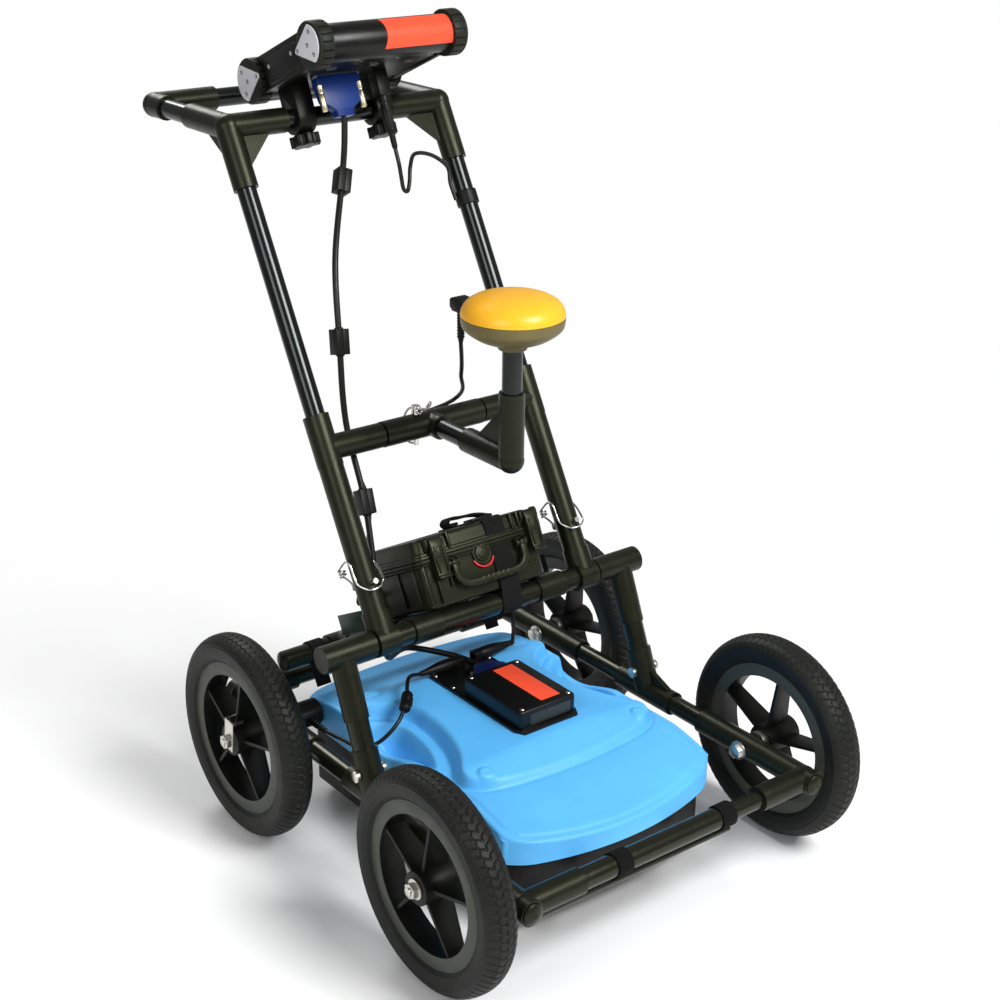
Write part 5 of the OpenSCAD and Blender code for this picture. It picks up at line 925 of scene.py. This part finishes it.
# The receiver's pin stands upright in the mid crossbar, whose tee is a little thicker than a handle sleeve
UPRIGHT = Matrix(((0, 0, 1, 0), (1, 0, 0, 0), (0, 1, 0, 0), (0, 0, 0, 1)))
TEE_SHARE = 37.44 / 36
CURL_X, CURL_Y, CURL_R, CURL_RISE, CURL_POINTS = -7.5, 25, 4.6, -1.15 / 4, 10
LOOP = [
    (-9, 25.5, 10), (-5, 26.5, 20), (2, 28, 28), (12, 25, 33), (21, 12, 33), (22.5, -2, 29), (18, -16, 20),
    (9, -23.5, 10), (4, -25.5, 2), (8, -24.5, -6), (17, -17, -9), (22.5, -4, -8), (22, 8, -5), (17, 19, -3),
    (10, 25, -1), (7.3, 25.2, 0), (4.3, 25, 0),
]
RECEIVER_PIN = (-27, 198.32, 577.72)


def wire(name, body, at, path, node):
    bm = bmesh.new()
    sweep(bm, catmull(path, 4), circle(WIRE_R, 10))
    piece(name, bm, STEEL_WIRE, at, body, smooth=60, node=node)


coil = [(COIL_X + COIL_R * cosd(60 + 70 * i), COIL_Y + COIL_R * sind(60 + 70 * i), COIL_Z + COIL_RISE * i)
        for i in range(COIL_POINTS)]
hoop = [(r * sind(a), -r * cosd(a), h) for a, r, h in HOOP]
for side, x in (("left", -HANDLE_X), ("right", HANDLE_X)):
    path = BAIL_START + coil + hoop + [BAIL_END]
    wire("bail_%s_wire" % side, side + "_bail", on_handle(x, PIN_Z), path, "bail_" + side)
curl = [(CURL_X + CURL_RISE * i, CURL_Y * TEE_SHARE + CURL_R * sind(90 * i), CURL_R * cosd(90 * i))
        for i in range(CURL_POINTS)]
path = curl + [(x * TEE_SHARE, y * TEE_SHARE, z) for x, y, z in LOOP]
wire("bail_receiver_wire", "receiver_bail", local(*RECEIVER_PIN) @ UPRIGHT, path, "bail_gps")

# Position receiver: profiles of dome and base are shares of their radius and height
GPS_Y, GPS_Z, DOME_R, DOME_HIGH, BASE_HIGH = 11.32, 751.72, 70.75, 31, 33
GPS = local(0, GPS_Y, GPS_Z)
DOME_SHARES = (
    (1, 0), (0.985, 0.2), (0.94, 0.42), (0.85, 0.62), (0.7, 0.79), (0.48, 0.92), (0.24, 0.985), (0, 1),
)
BASE_SHARES = ((0.62, 0), (0.7, 0.08), (0.84, 0.27), (0.94, 0.45), (0.98, 0.6), (0.995, 0.82), (1, 0.985))
DOME_SEAM, BASE_SEAM = [(69.2, BASE_HIGH), (DOME_R, BASE_HIGH + 0.3)], [(69.4, BASE_HIGH), (0, BASE_HIGH)]
SOCKET = [(19.2, -14), (20, -13.2), (20, 0.2), (43, 0.2)]
BASE_SCREWS, BASE_SCREW_OUT, BASE_SCREW_R, BASE_SCREW_Z = 6, 32, 3.4, (-0.6, 1)


def share_curve(shares, high):
    return [(p.x, p.y) for p in catmull([(DOME_R * a, high * b, 0) for a, b in shares], 5)]


bm = bmesh.new()
lathe(bm, DOME_SEAM + [(max(r, 0), BASE_HIGH + h) for r, h in share_curve(DOME_SHARES, DOME_HIGH)[1:]], n=96)
piece("receiver_dome", bm, DOME_YELLOW, GPS, smooth=50, node="gps_dome")
bm = bmesh.new()
lathe(bm, SOCKET + share_curve(BASE_SHARES, BASE_HIGH) + BASE_SEAM, n=96)
for k in range(BASE_SCREWS):
    x, y = polar(BASE_SCREW_OUT, 360 / BASE_SCREWS * (k + 0.5))
    rod(bm, BASE_SCREW_R, BASE_SCREW_Z, at=(x, y, 0), n=16)
piece("receiver_base", bm, BASE_OLIVE, GPS, bevel=0.3, smooth=40, node="gps_base")

# The receiver's right-angle plug: a ribbed neck, a chamfered block and a ribbed cable relief
PLUG_OUT, PLUG_SHARE = 28, 0.64
NECK_R, NECK_Y, NECK_RIBS, NECK_RIB_R, NECK_FIRST, NECK_PITCH, NECK_RIB = 6.6, (-29, 1), 5, 8, -24, 4.4, 2.6
BLOCK, BLOCK_HALF = [(0, -9.5), (22, -9.5), (28, -4), (28, 6), (24, 9.5), (0, 9.5)], 12
RELIEF_Y, RELIEF_TOP, RELIEF_END, RELIEF_POINTS = 16.8, (5.4, -9), (3.3, -55.5), 19
RELIEF_WAIST, RELIEF_BELLY, RELIEF_TAPER, RELIEF_FIRST, RELIEF_PITCH = 4.6, 6.2, 0.02, -10, 2.2
bm = bmesh.new()
rod(bm, NECK_R, NECK_Y, "Y")
for k in range(NECK_RIBS):
    y = NECK_FIRST + NECK_PITCH * k
    rod(bm, NECK_RIB_R, (y, y + NECK_RIB), "Y")
slab(bm, BLOCK, 0, BLOCK_HALF)
ribs = [((RELIEF_BELLY if k % 2 else RELIEF_WAIST) - RELIEF_TAPER * k, RELIEF_FIRST - RELIEF_PITCH * k)
        for k in range(1, RELIEF_POINTS)]
lathe(bm, [RELIEF_TOP] + ribs + [RELIEF_END], at=(0, RELIEF_Y, 0), n=24)
at = local(0, GPS_Y + DOME_R + PLUG_OUT, GPS_Z + BASE_HIGH * PLUG_SHARE)
piece("receiver_plug", bm, PLUG_BLACK, at, bevel=1.4, segments=3)

# Radar unit on the antenna: a base plate, a box with an eased top, screws and bare labels
RADAR_X, RADAR_MID = 6, -7.8
BASE_PLATE = [
    (-56, 134), (-56, -68), (-48, -82.8), (48, -82.8), (56, -68), (56, 134), (50, 143.2), (-50, 143.2),
]
BASE_PLATE_Z = (203, 207)
RADAR_FORM = [(100, 134, 206), (100, 134, 231), (99, 133, 233.6), (96.5, 130.5, 235)]
LID_SCREW, LID_SCREW_X = [(3.6, 234.4), (3.6, 235.6), (2.8, 236.4), (0, 236.5)], 42
LID_SCREW_Y = (-66.8, 51.2)
PLATE_SCREW, PLATE_SCREW_X, PLATE_SCREW_Y = [(3.4, 206.4), (3.4, 208), (2.6, 208.8), (0, 209)], 50, (84, 128)
TOP_LABEL, TOP_LABEL_X, TOP_LABEL_Y, TOP_LABEL_Z = rounded(35, 112, 1.5, 3), 20, -6, (234.9, 235.25)
FRONT_LABEL, FRONT_LABEL_X, FRONT_LABEL_Y = rounded(72, 17, 1.2, 3, 219), 10, (-75.1, -74.7)
bm = bmesh.new()
prism(bm, BASE_PLATE, *BASE_PLATE_Z)
loft(bm, [(rounded(w, d, 5, mid=RADAR_MID), h) for w, d, h in RADAR_FORM])
piece("radar_case", bm, RADAR, local(RADAR_X, 0, 0), bevel=0.7, node="radar_box")
bm = bmesh.new()
for form, out, rows in ((LID_SCREW, LID_SCREW_X, LID_SCREW_Y), (PLATE_SCREW, PLATE_SCREW_X, PLATE_SCREW_Y)):
    for x in both(out):
        for y in rows:
            lathe(bm, form, at=(x, y, 0), n=24)
piece("radar_screws", bm, ZINC, local(RADAR_X, 0, 0), smooth=40)
bm = bmesh.new()
prism(bm, TOP_LABEL, *TOP_LABEL_Z)
piece("radar_label", bm, LABEL_RED, local(TOP_LABEL_X, TOP_LABEL_Y, 0), bevel=0.1)
bm = bmesh.new()
prism(bm, FRONT_LABEL, *FRONT_LABEL_Y, axes=XZY)
piece("radar_front_label", bm, LABEL_GREY, local(FRONT_LABEL_X, 0, 0), bevel=0.1)

# Plugs behind the radar unit: the data plug with two screws, and a tapered power plug on each side
RADAR_PLUG_X, RADAR_PLUG_Y, RADAR_PLUG_Z = 20, 59.2, (207.2, 222.8)
RADAR_PLUG = [(24, 0), (29, 4), (29, 22), (14, 42)]
PLUG_SCREW, PLUG_SCREW_X = [(3.2, 14), (3.6, 15), (3.6, 31), (3.0, 32.5)], 25
SIDE_PLUG_Y, SIDE_PLUG_Z = 135.2, 215
SIDE_PLUG = [(6.5, 10), (8, 12), (8, 22), (9, 26), (9.4, 40), (8.6, 54), (6.6, 66), (5.0, 76), (3.9, 86.8)]
SIDE_PLUG_RIBS, SIDE_RIB_R, SIDE_RIB_TAPER, SIDE_RIB_ENDS, SIDE_RIB_PITCH = 4, 5.6, 0.4, (70, 72.4), 4.2
SIDE_BLOCK = ((10, 24), (-8, 8), (-8, 6))
bm = bmesh.new()
prism(bm, mirrored(RADAR_PLUG), *RADAR_PLUG_Z)
at = local(RADAR_PLUG_X, RADAR_PLUG_Y, 0)
piece("radar_data_plug", bm, PLUG_NAVY, at, bevel=1.8, segments=3, node="radar_plugs")
bm = bmesh.new()
for x in both(PLUG_SCREW_X):
    lathe(bm, PLUG_SCREW, "Y", (x, 0, SIDE_PLUG_Z), 20)
piece("radar_plug_screws", bm, BRASS, at, smooth=40)
at = local(RADAR_PLUG_X, SIDE_PLUG_Y, SIDE_PLUG_Z)
for i, side in enumerate((-1, 1)):
    bm = bmesh.new()
    lathe(bm, [(r, side * x) for r, x in SIDE_PLUG], "X", n=20)
    for k in range(SIDE_PLUG_RIBS):
        ends = [side * (e + SIDE_RIB_PITCH * k) for e in SIDE_RIB_ENDS]
        rod(bm, SIDE_RIB_R - SIDE_RIB_TAPER * k, ends, "X", n=20)
    box(bm, [side * e for e in SIDE_BLOCK[0]], *SIDE_BLOCK[1:])
    piece("radar_side_plug_%d" % (i + 1), bm, PLUG_BLACK, at, bevel=0.8, smooth=50)

# Console: the red label wraps the front roll, with a bowed left edge
MID = moved(CONSOLE, 15, -52, 68)
ROLL_Y = 89
LABEL_R, LABEL_THICK, LABEL_TURN, LABEL_RIGHT = 27.15, 0.3, range(-46, 62, 6), 101
LABEL_LEFT, LABEL_BOW, LABEL_BOW_RATE, LABEL_BOW_MID = -15, 4.5, 1.6, 8
bm = bmesh.new()
rows = []
for a in LABEL_TURN:
    y, z = polar(LABEL_R, a)
    left_edge = LABEL_LEFT + LABEL_BOW * cosd(LABEL_BOW_RATE * (a - LABEL_BOW_MID))
    rows.append([bm.verts.new((x, -ROLL_Y - y, z)) for x in (left_edge, LABEL_RIGHT)])
for p, q in zip(rows, rows[1:]):
    bm.faces.new((p[0], p[1], q[1], q[0]))
piece("console_label", bm, LABEL_RED, MID, "console", smooth=60, thick=LABEL_THICK)

# Ribbed round bumpers at the four corners, each with a plate whose point turns to the side's other bumper
BUMPER_IN, BUMPER_OUT, BUMPER_R, BUMPER_CORE = 101, 124, 33, 30.6
BUMPER_FORM = [
    (BUMPER_CORE, BUMPER_IN), (BUMPER_CORE, 118.5), (32.2, 119), (BUMPER_R, 120.4), (BUMPER_R, 122),
    (31.6, 123.7), (30, BUMPER_OUT),
]
RIBS, RIB_TURNS, RIB_LOW, RIB_OUT = 18, (-8, -4, 0, 4, 8), 29, 119.6
PLATE_R, PLATE_TURNS, PLATE_X = 28, range(-60, 61, 8), (BUMPER_OUT - 0.5, BUMPER_OUT + 1.8)
PLATE_FLANK, PLATE_TIP = [(11, 26), (8, 25.4), (-30, 4.4), (-33, 2.4)], (-34, 0)
PLATE_SCREWS = ((10.5, 15.9), (11, -15.6), (-27.5, 0), (0, 0))
SCREW_RING = [(3.1, BUMPER_OUT + 1), (3.1, BUMPER_OUT + 2.1)]
SCREW_HEAD = [(2.4, BUMPER_OUT + 1), (2.4, BUMPER_OUT + 2.6), (1.6, BUMPER_OUT + 3.1), (0, BUMPER_OUT + 3.2)]
SIDE_WALL, SIDE_WALL_X = [(-74, 27.5), (74, 27.5), (74, -24), (-74, -24)], (105, 115.5)
SIDE_COVER = [(-50, -14), (-42, -19), (42, -19), (50, -14), (50, 12), (40, 19), (-40, 19), (-50, 12)]
SIDE_COVER_X = (114, 117)
SIDE_SCREW, SIDE_SCREW_Y, SIDE_SCREW_Z = [(0, 116.8), (3.2, 116.9), (3.2, 117.6), (0, 118.4)], (-30, 36), 6


def bumper(corner, at, first):
    bm = bmesh.new()
    lathe(bm, BUMPER_FORM, "X", n=72)
    for k in range(RIBS):
        turns = [360 / RIBS * k + a for a in RIB_TURNS]
        outline = [polar(BUMPER_R, a) for a in turns] + [polar(RIB_LOW, a) for a in (turns[-1], turns[0])]
        prism(bm, outline, BUMPER_IN, RIB_OUT, axes=YZX)
    node = "console_bumpers" if first else None
    piece("console_bumper_" + corner, bm, BUMPER, at, "console", bevel=0.7, node=node)


def corner_plate(corner, at, first):
    bm = bmesh.new()
    lower = [(a, -b) for a, b in reversed(PLATE_FLANK)]
    outline = [polar(PLATE_R, a) for a in PLATE_TURNS] + PLATE_FLANK + [PLATE_TIP] + lower
    prism(bm, outline, *PLATE_X, axes=YZX)
    node = "console_plates" if first else None
    piece("console_plate_" + corner, bm, PLATE, at, "console", bevel=0.5, node=node)
    screws = (("rings", SCREW_RING, PLUG_BLACK, 35), ("screws", SCREW_HEAD, ZINC, 40))
    for kind, form, finish, smooth in screws:
        bm = bmesh.new()
        for y, z in PLATE_SCREWS:
            lathe(bm, form, "X", (0, y, z), 20)
        piece("console_plate_%s_%s" % (kind, corner), bm, finish, at, "console", smooth=smooth)


for side, side_name in ((-1, "left"), (1, "right")):
    for end, end_name in ((-1, "front"), (1, "rear")):
        corner = "%s_%s" % (side_name, end_name)
        at = moved(MID @ Matrix.Diagonal((side, end, 1, 1)), 0, ROLL_Y, 0)
        bumper(corner, at, corner == "left_front")
        corner_plate(corner, at, corner == "left_front")
    bm = bmesh.new()
    prism(bm, SIDE_WALL, *sorted(side * e for e in SIDE_WALL_X), axes=YZX)
    piece("console_side_wall_" + side_name, bm, CONSOLE_BLACK, MID, "console", bevel=1.5, segments=3)
    bm = bmesh.new()
    prism(bm, SIDE_COVER, *sorted(side * e for e in SIDE_COVER_X), axes=YZX)
    piece("console_side_cover_" + side_name, bm, CONSOLE_BLACK, MID, "console", bevel=1.4, segments=3)

# Screws of the side covers, and the row of small screws and sockets underneath
UNDER_SCREW = [(0, -23.4), (2.4, -22.9), (2.4, -21.8), (0, -21.6)]
UNDER_X, UNDER_Y = (-84, -28, 34, 88), (-62, 70)
SOCKET_X, UNDER_SOCKET = (-62, 8, 70), (7, (-40, -33), (-24, -21.5))
bm = bmesh.new()
for side in (-1, 1):
    for y in SIDE_SCREW_Y:
        lathe(bm, [(r, side * h) for r, h in SIDE_SCREW], "X", (0, y, SIDE_SCREW_Z), 18)
for x in UNDER_X:
    for y in UNDER_Y:
        lathe(bm, UNDER_SCREW, at=(x, y, 0), n=16)
for x in SOCKET_X:
    rib(bm, x, UNDER_SOCKET)
piece("console_screws", bm, ZINC, MID, "console", smooth=40)

# Bezel round the screen
BEZEL_OUT, BEZEL_IN, BEZEL_LOW, BEZEL_TOP = rounded(196, 148, 9), rounded(186, 140, 3), 20.5, 22.6
bm = bmesh.new()
bezel = ((BEZEL_OUT, BEZEL_LOW), (BEZEL_OUT, BEZEL_TOP), (BEZEL_IN, BEZEL_TOP), (BEZEL_IN, BEZEL_LOW))
skin(bm, [[bm.verts.new((a, b, h)) for a, b in points] for points, h in bezel], closed=True)
piece("console_bezel", bm, CONSOLE_BLACK, MID, "console", bevel=0.6)

# Data plug under the console, with a ribbed neck, two gold screws and a metal shell
DATA_PLUG = moved(CONSOLE, -20, -50, -15.5)
DATA_FORM = [(13, 0), (14.5, 9), (18, 12), (29, 19), (32, 24), (36, 46), (36, 57), (33, 60)]
DATA_HALF, DATA_RIBS, DATA_RIB_X, DATA_RIB_Y, DATA_RIB_Z, DATA_RIB_PITCH = 8, 4, 14.5, 8.6, (0.6, 2), 2.6
DATA_SCREW_X, DATA_SCREW_Y = 33, -6.4
DATA_SCREW = [(3.4, 9), (4.4, 10.5), (4.4, 32), (3.6, 33.5), (3.6, 36), (4.2, 37), (4.2, 46)]
DATA_SHELL = (both(37), both(7.4), (58, 61.6))
bm = bmesh.new()
prism(bm, mirrored(DATA_FORM), *both(DATA_HALF), axes=XZY)
for k in range(DATA_RIBS):
    box(bm, both(DATA_RIB_X), both(DATA_RIB_Y), [h + DATA_RIB_PITCH * k for h in DATA_RIB_Z])
piece("console_data_plug", bm, PLUG_BLUE, DATA_PLUG, "console", bevel=1.6, segments=3, node="console_plugs")
bm = bmesh.new()
for x in both(DATA_SCREW_X):
    lathe(bm, DATA_SCREW, at=(x, DATA_SCREW_Y, 0), n=20)
piece("console_plug_screws", bm, BRASS, DATA_PLUG, "console", smooth=40)
bm = bmesh.new()
box(bm, *DATA_SHELL)
piece("console_plug_shell", bm, ZINC, DATA_PLUG, "console", bevel=0.8)

# Power plug with a fluted grip, in its block
POWER_FORM = [
    (3.2, -70), (4.2, -66), (4.6, -48), (6.4, -46), (7.25, -42), (7.25, -8), (6.6, -6), (6.6, -2),
    (7.6, -1), (7.6, 9), (6.8, 10),
]
POWER_BLOCK = (both(10), both(10), (8, 46.2))
FLUTES, FLUTE_OUT, FLUTE_R, FLUTE_Z = 14, 7.1, 0.8, (-40, -12)
bm = bmesh.new()
box(bm, *POWER_BLOCK)
lathe(bm, POWER_FORM, n=28)
for x, y in circle(FLUTE_OUT, FLUTES):
    rod(bm, FLUTE_R, FLUTE_Z, at=(x, y, 0), n=8)
piece("console_power_plug", bm, PLUG_BLACK, moved(CONSOLE, 56, -45, 0), "console", bevel=0.8, smooth=45)

# Cable clip on the right tube
CLIP_Z, CLIP_HALF, CLIP_BLOCK = 595, 11, rounded(13, 12, 3, 3)
CLIP = [(14.1, -CLIP_HALF), (16.2, -CLIP_HALF), (17, -10), (17, 10), (16.2, CLIP_HALF), (14.1, CLIP_HALF)]
bm = bmesh.new()
lathe(bm, CLIP, n=40)
prism(bm, CLIP_BLOCK, *both(CLIP_HALF))
piece("cable_clip", bm, PLUG_BLACK, on_handle(HANDLE_X, CLIP_Z), bevel=0.5)

# Stage: a pale floor that keeps the shadow near the cart and turns into the white background further out
WHITE_FROM, WHITE_TO, FLOOR_HALF, FLOOR_GREY, SKY_LIGHT = 0.75, 1.7, 40, 0.93, 0.3
WHITE = (1, 1, 1, 1)


def floor_white():
    m = bpy.data.materials.new("floor_white")
    m.use_nodes = True
    t = m.node_tree
    shader = t.nodes["Principled BSDF"]
    grey = (FLOOR_GREY, FLOOR_GREY, FLOOR_GREY, 1)
    feed(t, shader, {"Base Color": grey, "Roughness": 0.95, "Specular IOR Level": 0.0})
    away = add(t, "VectorMath", {0: add(t, "TexCoord", {}).outputs["Object"]}, operation="LENGTH")
    inputs = {"Value": away.outputs["Value"], "From Min": WHITE_FROM, "From Max": WHITE_TO}
    share = add(t, "MapRange", inputs, interpolation_type="SMOOTHSTEP").outputs["Result"]
    seen = add(t, "LightPath", {}).outputs["Is Camera Ray"]
    shown = add(t, "Math", {0: share, 1: seen}, operation="MULTIPLY").outputs["Value"]
    glow = add(t, "Emission", {"Color": WHITE, "Strength": 1.0}).outputs["Emission"]
    mix = add(t, "MixShader", {"Fac": shown, 1: shader.outputs["BSDF"], 2: glow})
    feed(t, t.nodes["Material Output"], {"Surface": mix.outputs["Shader"]})
    return m


def lamp(name, at, to, size, power):
    light = bpy.data.lights.new(name, "AREA")
    light.shape = "DISK"
    light.size = size
    light.energy = power
    ob = bpy.data.objects.new(name, light)
    SCENE.collection.objects.link(ob)
    ob.location = at
    ob.rotation_euler = (Vector(to) - Vector(at)).to_track_quat("-Z", "Y").to_euler()


me = bpy.data.meshes.new("floor")
bm = bmesh.new()
bmesh.ops.create_grid(bm, x_segments=1, y_segments=1, size=FLOOR_HALF)
bm.to_mesh(me)
bm.free()
floor = bpy.data.objects.new("floor", me)
SCENE.collection.objects.link(floor)
me.materials.append(floor_white())

world = bpy.data.worlds.new("studio")
SCENE.world = world
world.use_nodes = True
sky = world.node_tree
seen = add(sky, "LightPath", {}).outputs["Is Camera Ray"]
strength = add(sky, "MapRange", {"Value": seen, "To Min": SKY_LIGHT, "To Max": 1.0}).outputs["Result"]
feed(sky, sky.nodes["Background"], {"Color": WHITE, "Strength": strength})

# Lamps in metres and watts
lamp("key", (0.7, -2.7, 3.0), (0, 0, 0.4), 1.7, 150)
lamp("fill", (-2.8, -1.3, 2.2), (0, 0, 0.4), 1.5, 30)
lamp("rear", (0.4, 2.8, 3.0), (0, 0, 0.5), 1.6, 60)

SCENE.view_settings.view_transform = "Standard"
